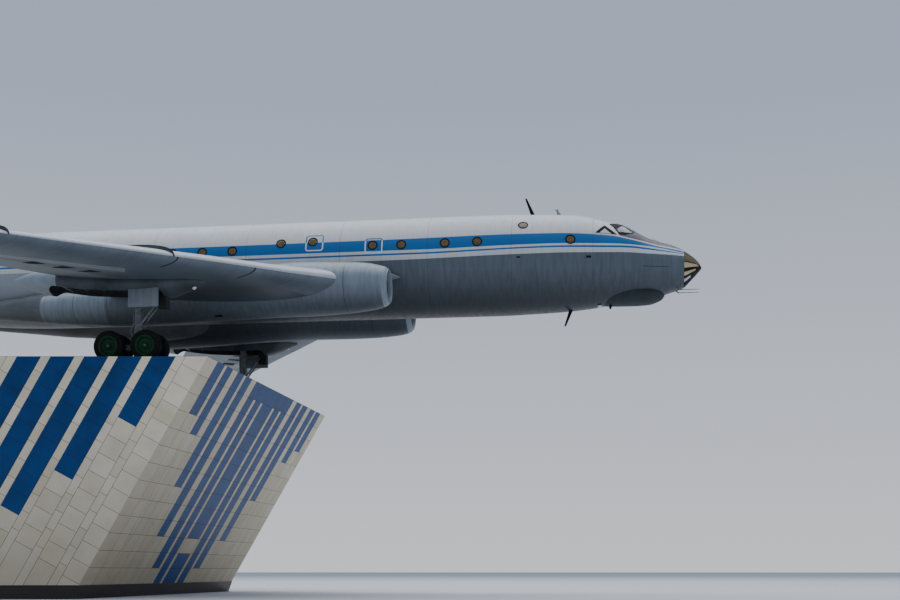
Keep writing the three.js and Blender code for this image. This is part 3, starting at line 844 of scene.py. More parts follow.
def fence(side, out):
    """A low plate that follows the upper skin back from round the leading edge."""
    _, lead, trail, mid, thick = row_at(WING, out)
    chord = lead - trail
    low, high = [], []
    for k in range(FENCE_STEPS + 1):
        share = FENCE_CHORD * (k / FENCE_STEPS) ** 2
        back = share * chord
        half = half_thickness(share) * thick * chord
        turn = math.radians(90 * min(1, 3 * k / FENCE_STEPS))
        base = AXIS_Z + mid - INCIDENCE * back
        low.append(Vector((lead - back - FENCE_SUNK, side * out, base + half * 0.6)))
        high.append(Vector((lead - back + FENCE_AHEAD * math.cos(turn), side * out,
                            base + half + FENCE_HEIGHT * math.sin(turn))))
    high[-1].z -= FENCE_DROP * FENCE_HEIGHT
    sheet = bpy.data.meshes.new("fence")
    faces = [(k, k + 1, FENCE_STEPS + k + 2, FENCE_STEPS + k + 1) for k in range(FENCE_STEPS)]
    sheet.from_pydata(low + high, [], faces)
    piece = bpy.data.objects.new("fence", sheet)
    bpy.context.scene.collection.objects.link(piece)
    modified(piece, "SOLIDIFY", thickness=2 * FENCE_THICK, offset=0)
    # The fence's dark grey is painted shade
    coat(piece, POD_PAINTED_SHADE)
    return piece


# Painted shade darkens the wing where it faces down near the root, and the nacelle where it faces
# the fuselage: from and to for each measure
SHADE_FACING, SHADE_OUT, SHADE_INWARD = (0.50, 0.95), (7.6, 4.4), (0.10, 0.60)


def ramp(value, ends):
    """How far a value has come from one end to the other, from 0 to 1."""
    return min(max((value - ends[0]) / (ends[1] - ends[0]), 0), 1)


def mark_painted_shade(piece, amount):
    """Marks how much painted shade each point of a piece takes."""
    layer = piece.data.attributes.new(SHADE_MARK, "FLOAT", "POINT")
    for vertex, mark in zip(piece.data.vertices, layer.data):
        mark.value = amount(vertex)


# The part of the fuselage inside the wing, and how far up a face looks where the top's painted light
# starts
WING_BODY, TOP_FACING = (-3, 10), 0.14


def wings():
    for name, side in SIDES.items():
        place = beside(side)
        whole = foil(WING, side, slope=INCIDENCE)
        body = drawn(tube_rings([row for row in BODY_ROWS if WING_BODY[0] < row[0] < WING_BODY[1]]))
        for rows in (NACELLE, ROOT_FAIRING):
            combine(whole, drawn(tube_rings(rounded(rows, 0.5), side)))
        combine(whole, body)
        aileron, *cutters = hinged(whole, WING, AILERON, place, INCIDENCE)
        for flap, hinge in (("flap_outer", FLAP_OUTER), ("flap_inner", FLAP_INNER)):
            part, slot = control(whole, hinge, FLAP_GAP, place, True)
            cutters.append(slot)
            dress_skin(part, f"{flap}_{name}", PALE)
        for cutter in cutters:
            combine(whole, cutter)
        # The faces that look up are painted paler: painted light from the sky
        for piece in (whole, aileron):
            coat(piece, WING_GREY, WING_PAINTED_LIGHT)
            paint_faces(piece, lambda polygon: polygon.normal.z > TOP_FACING, WING_PAINTED_LIGHT)
        # Painted shade under the wing where it faces down near the root
        mark_painted_shade(whole, lambda vertex: (ramp(-vertex.normal.z, SHADE_FACING)
                                         * ramp(abs(vertex.co.y), SHADE_OUT)))
        whole = join([whole, *(fence(side, out) for out in FENCES)])
        dress_skin(whole, f"wing_{name}", None)
        dress_skin(aileron, f"aileron_{name}", None, f"aileron_{name}")


wings()

# On the lower skin ahead of the outer flap, as corners of x and distance out: a pale panel, painted
# light where the lowered flap's nose catches the light, and dark slots and joints
PALE_PANEL = [(1.79, 8.13), (1.56, 7.58), (-2.04, 10.57), (-1.62, 11.40)]
WING_SLOTS = [
    [(-0.974, 9.332), (-0.455, 9.600), (-0.255, 9.192), (-0.724, 9.130)],
    [(-0.479, 8.490), (0.094, 8.780), (0.345, 8.441), (-0.114, 8.400)],
    [(0.104, 7.803), (0.658, 8.060), (0.890, 7.676), (0.466, 7.685)],
    [(3.34, 7.62), (3.34, 7.65), (2.70, 7.65), (2.70, 7.62)],
    [(5.10, 5.36), (5.10, 5.39), (4.45, 5.45), (4.45, 5.42)],
]


def wing_panels():
    down = Vector((0, 0, -1))
    for name, side in SIDES.items():
        skin = bpy.data.objects[f"wing_{name}_skin"]

        def plate(corners, thick):
            return patch(skin, [Vector((x, side * out, 0)) for x, out in corners], down, thick)

        dress(plate(PALE_PANEL, 0.003), f"wing_panel_{name}", PAINTED_LIGHT_GREY)
        dress(join([plate(corners, 0.006) for corners in WING_SLOTS]), f"wing_slots_{name}", SEAL)


wing_panels()


def tail_surface(node, moving, table, hinge, place, material, slot, **shape):
    """A fixed surface and the one hinged behind it."""
    whole = foil(table, **shape)
    part, gap, round_gap = hinged(whole, table, hinge, place, square_end="upright" not in shape)
    for cutter in (round_gap, gap):
        combine(whole, cutter)
    dress_skin(whole, node, material)
    dress_skin(part, moving, material, moving)


for name, side in SIDES.items():
    tail_surface(f"stabiliser_{name}", f"elevator_{name}", TAILPLANE, ELEVATOR, beside(side),
                 WING_GREY, "skin_grey", side=side)
tail_surface("fin", "rudder", FIN, RUDDER, upright, WHITE_PAINT, "skin_white", upright=True)


# Dorsal fillet: x, distance out, half width, height of the middle from the axis, half height
FILLET = [
    (-4.20, 0, 0.060, 1.600, 0.152),
    (-7.00, 0, 0.095, 1.600, 0.330),
    (-9.30, 0, 0.105, 1.600, 0.600),
    (-11.35, 0, 0.110, 1.600, 1.060),
]
dress_skin(drawn(tube_rings(rounded(FILLET, 0.4)), 32), "dorsal_fillet", WHITE_PAINT)


# The intake's lip, and the wedge ahead of the fairing as its tip, its back and both radii
LIP_X, LIP_STEPS, LIP_AHEAD = 8.71, 6, 0.02
WEDGE = ((9.10, 1.78, -0.70), (8.45, 1.76, -0.62), 0.015, 0.25, 40)


def bars(table, side=1):
    """Bars from rows of both ends, as x, distance out and height, and the rest of a cone."""
    place = beside(side)
    return [cone(place(*start), place(*stop), *rest) for start, stop, *rest in table]


def nacelles():
    for name, side in SIDES.items():
        outer = rounded(NACELLE, 0.3)[::-1]
        front, duct_front = outer[-1], DUCT[0]
        lip = []
        for i in range(1, LIP_STEPS):
            angle = math.radians(180 * i / LIP_STEPS)
            share = (1 - math.cos(angle)) / 2
            row = [u + (v - u) * share for u, v in zip(front, duct_front)]
            row[0] = front[0] + LIP_AHEAD * math.sin(angle) - (front[0] - duct_front[0]) * share**3
            lip.append(row)
        rings = tube_rings([*outer, *lip, *rounded(DUCT, 0.4)], side)
        skin = drawn([*rings, rings[0]])
        coat(skin, NACELLE_GREY, DUCT_DARK, LIP_METAL, PIPE_METAL)

        def lining(polygon):
            x = polygon.center.x
            _, out, _, mid, _ = row_at(DUCT, x)
            axis = beside(side)(x, out, mid)
            return polygon.normal.dot(axis - polygon.center) > 0 and x < LIP_X

        paint_faces(skin, lambda polygon: polygon.center.x > LIP_X, LIP_METAL)
        paint_faces(skin, lambda polygon: polygon.center.x < NACELLE_JOINTS[1], PIPE_METAL)
        # Painted shade inside the duct
        paint_faces(skin, lining, DUCT_DARK)
        # Painted shade where the nacelle faces the fuselage
        mark_painted_shade(skin, lambda vertex: ramp(-side * vertex.normal.y, SHADE_INWARD))
        fairing = drawn(tube_rings(rounded(ROOT_FAIRING, 0.3), side), 48)
        wedge = bars([WEDGE], side)[0]
        coat(fairing, FAIRING_METAL)
        coat(wedge, WING_GREY)
        dress_skin(join([skin, fairing, wedge]), f"nacelle_{name}", None)


nacelles()
dress_skin(drawn(tube_rings(rounded(CHIN, 0.12)), 48), "chin_radome", RADOME)


# Plinth: tile-clad, its front leaning out from the skirting to the deck, its sides parallel
PLINTH_LOW, PLINTH_REAR = 0.4303, -11.0
FRONT_LOW, FRONT_HIGH = -0.09, 3.905
NEAR_Y, SPLAY, PLINTH_WIDTH = -6.711, 0.1406, 15.48
LEAN = Vector((FRONT_HIGH - FRONT_LOW, 0, DECK_Z - PLINTH_LOW)).normalized()
BACK = Vector((-LEAN.z, 0, LEAN.x))
COURSE, COURSES = 0.63, 13
PITCH, WIDE, FIRST = 0.91, 0.64, -0.05
SIDE_START, SIDE_STEP = 0.04, 0.115
JOINT, TILE_PROUD, CORNER_BAND = 0.011, 0.004, 0.012
# Blue stripes on the sides: column counted from the front edge, courses up from the skirting
SIDE_STRIPES = {1: 8, 2: 4, 3: 1, 4: -1, 5: -1}
# Blue stripes on the front: from and to across it, first and last course down from the deck
FRONT_STRIPES = [
    (1.01, 1.73, 0, 3), (1.98, 2.61, 0, 4), (3.16, 3.84, 0, 7), (4.09, 4.77, 0, 10),
    (5.31, 10.32, 0, 1), (5.31, 6.00, 0, 12), (6.24, 6.90, 0, 13), (7.14, 8.44, 0, 10),
    (7.14, 8.44, 11, 13), (8.68, 9.38, 0, 13), (9.62, 10.32, 0, 12), (10.85, 11.55, 0, 10),
    (11.80, 12.53, 0, 7), (13.03, 13.73, 0, 4), (13.98, 14.68, 0, 3),
]
DECK_SLAB = 1.2
SIDE_LONG, REAR_STEPS = 17, range(-9, 18)
SKIRT_EDGE = Vector((FRONT_LOW, 0, PLINTH_LOW))


def near_y(x):
    return NEAR_Y - SPLAY * (FRONT_HIGH - x)


def up_lean(point):
    """Distance of a point up the leaning front, from the skirting."""
    return (Vector(point) - SKIRT_EDGE).dot(LEAN)


def behind(point):
    """Distance of a point behind the leaning front edge, square to it."""
    return (Vector(point) - SKIRT_EDGE).dot(BACK)


def across(point):
    return point.y - near_y(point.x)


# How squarely a face looks along an axis, and how far the leaning front looks ahead
SQUARE, LEANING = 0.9, 0.5


def on_side(normal):
    return abs(normal.y) > SQUARE


def on_front(normal):
    return normal.x > LEANING


def on_rear(normal):
    return normal.x < -SQUARE


def on_deck(normal):
    return normal.z > SQUARE


def cut_tiles(piece, facing, point, normal, inside=lambda middle: True):
    """Cuts the faces that face a way along a plane."""
    pick(piece, lambda middle, out: facing(out) and inside(middle))
    bpy.ops.mesh.bisect(plane_co=point, plane_no=normal)


def clad_plinth():
    deselect()
    bpy.ops.mesh.primitive_cube_add(size=2)
    block = bpy.context.object
    for vertex in block.data.vertices:
        front, left, top = (value > 0 for value in vertex.co)
        x = (FRONT_HIGH if top else FRONT_LOW) if front else PLINTH_REAR
        vertex.co = (x, near_y(x) + (PLINTH_WIDTH if left else 0), DECK_Z if top else PLINTH_LOW)
    columns = []
    edge = FIRST
    while edge < SIDE_LONG:
        columns += [(edge, WIDE), (edge + WIDE, PITCH - WIDE)]
        edge += PITCH
    top = up_lean((FRONT_HIGH, 0, DECK_Z))
    across_way = Vector((-SPLAY, 1, 0))
    with edit(block):
        for distance, _ in columns:
            cut_tiles(block, on_side, SKIRT_EDGE + BACK * distance, BACK)
        for number, (distance, wide) in enumerate(columns):
            half_down = COURSE / 2 if number % 2 else 0
            shift = (SIDE_START + SIDE_STEP * (number // 2) + half_down) % COURSE
            for course in range(COURSES + 1):
                point = SKIRT_EDGE + LEAN * (shift + COURSE * course)
                cut_tiles(block, on_side, point, LEAN,
                          lambda middle: distance < behind(middle) < distance + wide)
        for v in sorted({round(v, 2) for row in FRONT_STRIPES for v in row[:2]}):
            cut_tiles(block, on_front, (0, near_y(0) + v, 0), across_way)
        for course in range(1, COURSES + 1):
            cut_tiles(block, on_front, SKIRT_EDGE + LEAN * (top - COURSE * course), LEAN)
            cut_tiles(block, on_rear, (0, 0, DECK_Z - COURSE * course), (0, 0, 1))
        for step in REAR_STEPS:
            cut_tiles(block, on_rear, (0, step * PITCH, 0), (0, 1, 0))
            cut_tiles(block, on_deck, (0, step * DECK_SLAB, 0), (-SPLAY, 1, 0))
            cut_tiles(block, on_deck, (step * DECK_SLAB, 0, 0), (1, 0, 0))
        pick(block, lambda middle, normal: normal.z > -SQUARE)
        bpy.ops.mesh.inset(use_individual=True, thickness=JOINT / 2, depth=TILE_PROUD)
    finishes = [GROUT, TILE_BLUE, DECK_STONE, *TILE_CREAMS]
    coat(block, *finishes)
    dice = random.Random(4)

    def tile_finish(polygon):
        middle, normal = Vector(polygon.center), polygon.normal
        if not polygon.select:
            corner = min(across(middle), PLINTH_WIDTH - across(middle)) < CORNER_BAND
            return TILE_CREAMS[0] if corner and abs(behind(middle)) < CORNER_BAND else GROUT
        if on_deck(normal):
            return DECK_STONE
        if on_side(normal):
            column, rest = divmod(behind(middle) - FIRST, PITCH)
            low = SIDE_STRIPES.get(int(column))
            shift = SIDE_START + SIDE_STEP * column
            if low is not None and rest < WIDE and up_lean(middle) > shift + COURSE * low:
                return TILE_BLUE
        if on_front(normal):
            down = (top - up_lean(middle)) / COURSE
            v = across(middle)
            if any(a < v < b and c < down < d for a, b, c, d in FRONT_STRIPES):
                return TILE_BLUE
        # The front's tiles take the copies with painted shade
        front_shade = len(CREAMS) if on_front(normal) else 0
        return TILE_CREAMS[front_shade + dice.randrange(len(CREAMS))]

    for polygon in block.data.polygons:
        polygon.material_index = finishes.index(tile_finish(polygon))
    dress(block, "plinth_cladding", None, ["plinth_body"])


clad_plinth()


def glaze_nose():
    skin = bpy.data.objects["nose_glazing_skin"]
    skin.data.materials[0] = NOSE_BAR
    coat(skin, *NOSE_GLASS.values())

    def angle(middle):
        _, _, wide, mid, high = row_at(BODY_ROWS, middle.x)
        return math.degrees(math.atan2((middle.z - AXIS_Z - mid) / high, abs(middle.y) / wide))

    for low, top, short, kind in NOSE_PANES:
        for side in SIDES.values():
            with edit(skin):
                pick(skin, lambda m, n: (low < angle(m) < top and m.y * side > 0
                                         and short < NOSE_X - m.x < PANE_BACK))
                bpy.ops.mesh.inset(thickness=BAR_HALF, depth=-PANE_SUNK)
            paint_faces(skin, lambda polygon: polygon.select, NOSE_GLASS[kind])
    choose(skin)
    bpy.ops.object.shade_smooth_by_angle(angle=SMOOTH)


def skin_at(x):
    """The fuselage skin that covers a place along X."""
    node = [node for node, start in SECTIONS if start <= NOSE_X - x][-1]
    return bpy.data.objects[node + "_skin"]


def skin_point(x, height, side):
    """A point of the fuselage side and the way out from it."""
    def at(along, up):
        _, _, wide, mid, high = row_at(BODY_ROWS, along)
        rest = max(0.0, 1 - ((up - mid) / high) ** 2)
        return Vector((along, side * wide * math.sqrt(rest), AXIS_Z + up))
    step = 0.02
    along = at(x + step, height) - at(x - step, height)
    out = along.cross(at(x, height + step) - at(x, height - step))
    return at(x, height), out.normalized() * (1 if out.y * side > 0 else -1)


# Portholes: x and height from the axis. The row goes on behind the wing at an even pitch.
PORTHOLES = [(14.96, 0.47), (11.78, 0.471), (10.66, 0.462), (9.14, 0.454), (8.13, 0.47),
             (5.99, 0.68), (4.85, 0.657), (3.10, 0.44), (2.00, 0.43)]
PORTHOLE_PITCH = 1.1
PORTHOLES += [(2.0 - PORTHOLE_PITCH * k, 0.43) for k in range(1, 12)]
ROOF_HATCH = (13.33, 1.055)
RIM_RADIUS, PANE_RADIUS = 0.178, 0.128
RIM_PROFILE = [(RIM_RADIUS, -0.02), (RIM_RADIUS, 0.004), (0.170, 0.009), (0.150, 0.009),
               (0.134, 0.003), (PANE_RADIUS, -0.004), (PANE_RADIUS, -0.02), (RIM_RADIUS, -0.02)]
PANE_PROFILE = [(PANE_RADIUS + 0.002, -0.02), (PANE_RADIUS + 0.002, -0.002), (0.10, 0.003),
                (0.06, 0.006), (0.02, 0.007)]


def portholes():
    rim, pane = dial(RIM_PROFILE), dial(PANE_PROFILE)
    for name, side in SIDES.items():
        spots = [skin_point(x, height, side) for x, height in [*PORTHOLES, ROOF_HATCH]]
        dress(join([stand_on(twin(rim), *spot) for spot in spots]), f"porthole_rims_{name}", SEAL)
        dress(join([stand_on(twin(pane), *spot) for spot in spots]), f"porthole_panes_{name}",
              PORTHOLE_GLASS)
    for piece in (rim, pane):
        bpy.data.objects.remove(piece, do_unlink=True)


# Flight deck windows. Side windows are corners of x and height from the axis, with the width of
# their seals at each edge; windscreen panes are corners of x and distance out, seen from above.
# The wide seals on a side window's upper edges and on the outer edges of the windscreen's side
# pane are painted shadow.
SIDE_WINDOW = [(15.79, 0.735), (16.10, 1.075), (16.53, 0.685)]
SIDE_SEALS_AND_SHADOW = (0.110, 0.110, 0.008)
QUARTER, SCREEN = "quarter", "screen"
SCREEN_PANES = [
    (QUARTER, [(16.25, 0.70), (16.47, 0.47), (16.70, 0.575), (16.47, 0.93)], (0.02, 0.02, 0.03, 0.02)),
    (SCREEN, [(16.70, 0.575), (17.07, 0.74), (16.84, 0.96), (16.60, 1.06), (16.47, 0.93)],
     (0.02, 0.03, 0.07, 0.05, 0.03)),
    (SCREEN, [(16.50, 0.43), (16.50, 0.025), (17.14, 0.025), (17.10, 0.69)], (0.02,) * 4),
]
SEAL_THICK, GLASS_THICK = 0.006, 0.009


def flight_deck():
    skin = bpy.data.objects["cockpit_section_skin"]
    seals, side_glass = [], []
    screen = {QUARTER: [], SCREEN: []}

    def window(outline, insets, view, glass):
        seals.append(patch(skin, outline, view, SEAL_THICK))
        glass.append(patch(skin, shrunk(outline, insets, view), view, GLASS_THICK))

    for side in SIDES.values():
        place = beside(side)
        window([place(x, 0, height) for x, height in SIDE_WINDOW], SIDE_SEALS_AND_SHADOW, Vector((0, side, 0)),
               side_glass)
        for kind, corners, insets in SCREEN_PANES:
            window([Vector((x, side * out, 0)) for x, out in corners], insets, Vector((0, 0, 1)),
                   screen[kind])
    dress(join(seals), "flight_deck_window_seals_and_painted_shadow", SEAL)
    dress(join(side_glass), "flight_deck_side_windows", SIDE_GLASS)
    for kind, glass in ((QUARTER, QUARTER_GLASS), (SCREEN, SCREEN_GLASS)):
        dress(join(screen[kind]), f"flight_deck_{kind}_panes", glass)


# Emergency exits: outlines painted round two of the portholes. From and to x, low and top height.
EXITS = [(5.735, 6.375, 0.327, 0.937), (7.853, 8.484, 0.151, 0.731)]
EXIT_CORNER, EXIT_LINE, CORNER_STEPS = 0.10, 0.042, 5


def exits():
    for name, side in SIDES.items():
        bands = []
        for x0, x1, low, top in EXITS:
            outline = []
            corners = [(x1, top, 0), (x0, top, 90), (x0, low, 180), (x1, low, 270)]
            for x, height, start in corners:
                centre_x = x - EXIT_CORNER if x == x1 else x + EXIT_CORNER
                centre_z = height - EXIT_CORNER if height == top else height + EXIT_CORNER
                for step in range(CORNER_STEPS + 1):
                    turn = math.radians(start + 90 * step / CORNER_STEPS)
                    outline.append(beside(side)(centre_x + EXIT_CORNER * math.cos(turn), 0,
                                                centre_z + EXIT_CORNER * math.sin(turn)))
            band = patch(skin_at(x1), outline, Vector((0, side, 0)), 0.0)
            with edit(band):
                bpy.ops.mesh.remove_doubles(threshold=1e-4)
                bpy.ops.mesh.select_all(action="SELECT")
                bpy.ops.mesh.inset(thickness=EXIT_LINE)
                bpy.ops.mesh.delete(type="FACE")
            bands.append(thicken(band, PROUD))
        dress(join(bands), f"exit_outlines_{name}", EXIT_PAINT)


# Dark ports and a panel's edge on the front fuselage: from and to along x, low and top height
PORTS = [(15.49, 15.66, -0.170, -0.095), (13.14, 13.26, -0.150, -0.100),
         (17.41, 18.30, -0.420, -0.408)]
PORT_THICK = 0.003


def ports():
    for name, side in SIDES.items():
        plates = []
        for x0, x1, low, top in PORTS:
            outline = [beside(side)(x, 0, z)
                       for x, z in ((x0, low), (x1, low), (x1, top), (x0, top))]
            plates.append(patch(skin_at(x0), outline, Vector((0, side, 0)), PORT_THICK))
        dress(join(plates), f"dark_ports_{name}", SEAL)


# Small fittings of the nose and roof, most of them as rows for bars. Pins are x and length.
PITOT = [((18.62, 0.25, -1.085), (19.345, 0.25, -1.085), 0.013, 0.0091),
         ((18.50, 0.25, -0.980), (18.66, 0.25, -1.085), 0.028, 0.0182)]
STUB = [((14.50, 0, 1.715), (14.42, 0, 1.905), 0.075, 0.024, 16),
        ((14.36, 0, 1.905), (14.47, 0, 1.915), 0.022, 0.016, 16)]
DRAIN = [((16.30, -0.1, -1.53), (16.29, -0.1, -1.65), 0.048, 0.040, 16)]
PINS, PIN_Y, PIN_FOOT = ((17.77, 0.10), (17.84, 0.07), (17.91, 0.055)), -0.03, 0.02
BELLY_LAMP, LAMP_DOWN = (15.93, -0.2, -1.575), (0, -0.1, -1)
BELLY_LAMP_PROFILE = [(0.085, -0.02), (0.085, 0.012), (0.06, 0.035), (0.02, 0.045)]


def lamp(name, profile, spot, facing, side=1):
    """A lamp at x, distance out and height, facing out with its side of the aircraft."""
    ahead, out, up = facing
    piece = stand_on(dial(profile), beside(side)(*spot), Vector((ahead, side * out, up)).normalized())
    dress(piece, name, LAMP_GLASS)


def fittings():
    for name, side in SIDES.items():
        dress(join(bars(PITOT, side)), f"pitot_tube_{name}", STEEL)
    rows = []
    for x, length in PINS:
        _, _, _, mid, high = row_at(BODY_ROWS, x)
        foot = mid + high - PIN_FOOT
        rows.append(((x, PIN_Y, foot), (x + 0.01, PIN_Y, foot + length + PIN_FOOT), 0.012, 0.007, 12))
    dress(join(bars(rows)), "nose_sensor_pins", STEEL)
    dress(join(bars(STUB)), "roof_stub_antenna", PALE)
    lamp("belly_lamp", BELLY_LAMP_PROFILE, BELLY_LAMP, LAMP_DOWN)
    dress(bars(DRAIN)[0], "belly_drain_stub", SEAL)


glaze_nose()
portholes()
flight_deck()
exits()
ports()
fittings()


# Main gear, measured from the frame: the leg's x and distance out, and the height of the axles
LEG_X = sum(corner.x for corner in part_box("leg_right")) / 2
LEG_Y = sum(corner.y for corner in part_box("leg_left")) / 2
WHEEL_Z = sum(corner.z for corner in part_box("tyre_front_inner_left")) / 2
BAY_FROM, BAY_TO, BAY_HALF, BAY_LOW, BAY_TOP, BAY_CORNER = -1.65, 2.175, 0.54, -3.0, -1.48, 0.22
BAY_FRAMES, FRAME_LOW, FRAME_TOP, FRAME_THICK = 7, -1.62, -1.50, 0.05
# The rear cone of a pod is painted paler from here back, and so is its back above the wing: painted
# light where the sky lights them. Its landing lamp looks ahead and out
CONE_X, POD_TOP, POD_FACING, BAY_MIDDLE, SLACK = -1.33, -1.30, 0.2, -2.0, 0.01
POD_LAMP, LAMP_FACES = (3.12, 5.70, -1.735), (0.6, 0.45, -0.66)
LAMP_PROFILE = [(0.070, -0.05), (0.070, 0.010), (0.045, 0.028), (0.015, 0.034)]
SCOOP = ((2.77, 2.52, -2.045), (3.03, 2.62, -1.960))


def box_between(low, high, side, width, segments):
    """A bevelled block between two corners of x, distance out and height from the axis."""
    ends = [beside(side)(*corner) for corner in (low, high)]
    return block([min(pair) for pair in zip(*ends)], [max(pair) for pair in zip(*ends)], width,
                 segments)


def gear_pods():
    for name, side in SIDES.items():
        y = side * LEG_Y
        near, far = LEG_Y - BAY_HALF, LEG_Y + BAY_HALF
        pod = drawn(tube_rings(rounded(POD, 0.15), side), 56)
        combine(pod, box_between((BAY_FROM, near, BAY_LOW), (BAY_TO, far, BAY_TOP), side,
                                 BAY_CORNER, 6))
        with edit(pod):
            bpy.ops.mesh.bisect(plane_co=(CONE_X, 0, 0), plane_no=(1, 0, 0))
        coat(pod, POD_PAINTED_SHADE, BAY_DARK, PAINTED_LIGHT_GREY)

        def in_bay(polygon):
            x, out, z = polygon.center
            middle = Vector(((BAY_FROM + BAY_TO) / 2, y, AXIS_Z + BAY_MIDDLE))
            return (BAY_FROM - SLACK < x < BAY_TO + SLACK and abs(out - y) < BAY_HALF + SLACK
                    and z < AXIS_Z + BAY_TOP + SLACK
                    and polygon.normal.dot(middle - polygon.center) > 0)

        # Painted light: paler where the pod's back rises above the wing, and behind the wing's
        # trailing edge
        def pale(polygon):
            above = polygon.normal.z > POD_FACING and polygon.center.z > AXIS_Z + POD_TOP
            return above or polygon.center.x < CONE_X

        paint_faces(pod, pale, PAINTED_LIGHT_GREY)
        paint_faces(pod, in_bay, BAY_DARK)
        dress_skin(pod, f"gear_pod_{name}", None)
        frames = []
        for k in range(BAY_FRAMES):
            x = BAY_FROM + (BAY_TO - BAY_FROM) * (k + 0.7) / BAY_FRAMES
            frames.append(box_between((x, near, FRAME_LOW), (x + FRAME_THICK, far, FRAME_TOP), side,
                                      0.006, 1))
        dress(join(frames), f"gear_bay_frames_{name}", GEAR_GREY)
        lamp(f"landing_lamp_{name}", LAMP_PROFILE, POD_LAMP, LAMP_FACES, side)
        dress(box_between(*SCOOP, side, 0.012, 2), f"nacelle_drain_scoop_{name}", SEAL)


# Tyre and hub sections as rings of radius and distance from the middle plane
GROOVES = (-0.070, 0.0, 0.070)
GROOVE_HALF, GROOVE_DEPTH = 0.007, 0.010
TYRE_R, HUB_R = 0.505, 0.27
AXLE_HALF, AXLE_R = 0.245, 0.055
TYRE_EDGE = [(HUB_R, 0.112), (0.285, 0.128), (0.320, 0.143), (0.370, 0.153), (0.420, 0.154),
             (0.460, 0.144), (0.485, 0.124), (0.499, 0.098)]
HUB_SECTION = [(0.010, -0.118), (0.262, -0.118), (HUB_R, -0.108), (HUB_R, 0.106), (0.290, 0.136),
               (0.322, 0.147), (0.327, 0.151), (0.316, 0.155), (0.290, 0.151), (0.268, 0.140),
               (0.256, 0.118), (0.240, 0.080), (0.225, 0.064), (0.120, 0.056), (0.104, 0.066),
               (0.096, 0.104), (0.086, 0.118), (0.010, 0.122)]
BOLTS, BOLT_RING, BOLT_R, BOLT_LOW, BOLT_TOP = 10, 0.150, 0.011, 0.050, 0.070
CAP_SECTION = [(0.010, 0.118), (0.040, 0.118), (0.040, 0.136), (0.030, 0.146), (0.010, 0.150)]


def wheel_parts():
    """One tyre, one hub and one cap on the origin, facing +Z."""
    section = list(TYRE_EDGE)
    for middle in reversed(GROOVES):
        top, low = middle + GROOVE_HALF, middle - GROOVE_HALF
        section += [(TYRE_R, top + 0.002), (TYRE_R - GROOVE_DEPTH, top),
                    (TYRE_R - GROOVE_DEPTH, low), (TYRE_R, low - 0.002)]
    section += [(r, -h) for r, h in reversed(TYRE_EDGE)] + [TYRE_EDGE[0]]
    tyre = dial(section, 72)
    bolts = []
    for k in range(BOLTS):
        turn = 2 * math.pi * (k + 0.5) / BOLTS
        x, y = BOLT_RING * math.cos(turn), BOLT_RING * math.sin(turn)
        bolts.append(cone((x, y, BOLT_LOW), (x, y, BOLT_TOP), BOLT_R, sides=6))
    return tyre, join([dial(HUB_SECTION, 56), *bolts]), dial(CAP_SECTION)


def wheels():
    tyre, hub, cap = wheel_parts()
    for name, side in SIDES.items():
        for end in ("front", "rear"):
            body = f"wheels_{end}_{name}"
            hubs, caps = [], []
            for out, place in ((side, "outer"), (-side, "inner")):
                node = f"tyre_{end}_{place}_{name}"
                spot = sum(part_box(node), Vector()) / 2, Vector((0, out, 0))
                dress(stand_on(twin(tyre), *spot), node + "_rubber", RUBBER, [node],
                      body)
                hubs.append(stand_on(twin(hub), *spot))
                caps.append(stand_on(twin(cap), *spot))
            hubs.append(cross_pin(sum(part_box(body), Vector()) / 2, AXLE_HALF, AXLE_R, 32))
            dress(join(hubs), body + "_hubs", HUB_GREEN, [body], body)
            dress(join(caps), body + "_caps", STEEL, [], body)
    for piece in (tyre, hub, cap):
        bpy.data.objects.remove(piece, do_unlink=True)


LEG_R, PISTON_R = 0.115, 0.082
LEG_SECTION = [(LEG_R, 0.0), (LEG_R, 1.05), (0.128, 1.06), (0.128, 1.12), (LEG_R, 1.13),
               (LEG_R, 1.36), (0.132, 1.375), (0.132, 1.455), (0.098, 1.47), (PISTON_R, 1.48),
               (PISTON_R, 1.70), (0.120, 1.72)]
# Brake pipes down the leg as x and y from it, and the torque links' ends as x and height from its
# top, over the section's length
PIPES, PIPE_R = ((-0.140, 0.04), (-0.135, -0.05), (0.140, 0.03), (0.02, 0.142), (0.02, -0.142)), 0.02
PIPE_TOP, PIPE_LOW = -0.4, -1.30
LINKS, LINK_R = ((-0.11, -1.10, -0.27, -1.34), (-0.27, -1.34, -0.10, -1.60)), 0.032
RIB_SHARES, RIB_INSET, RIB_DEEP, RIB_HALF = (0.2, 0.5, 0.8), 0.06, 0.03, 0.015
BRACE_TOP, BRACE_LOW = (0.72, -2.13), (0.11, -2.91)
BRACE_OUT, BRACE_R = 0.125, 0.034
ANCHOR = ((0.68, -0.16, -2.38), (1.02, 0.16, -1.30))


def gear_part(piece, node, suffix, material=GEAR_GREY):
    dress(piece, f"{node}_{suffix}", material, [node])


def leg(node, y):
    low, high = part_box(node)
    top = Vector((LEG_X, y, high.z))
    stretch = (high.z - low.z) / LEG_SECTION[-1][1]
    strut = dial([(r, -h * stretch) for r, h in LEG_SECTION], 40)
    strut.data.transform(Matrix.Translation(top))
    with edit(strut):
        face_out()
    pipes = [cone(top + Vector((dx, dy, PIPE_TOP)), top + Vector((dx, dy, PIPE_LOW)), PIPE_R,
                  sides=12) for dx, dy in PIPES]
    links = [cone(top + Vector((x0, 0, z0 * stretch)), top + Vector((x1, 0, z1 * stretch)), LINK_R,
                  sides=16) for x0, z0, x1, z1 in LINKS]
    gear_part(join([strut, *pipes, *links]), node, "strut")


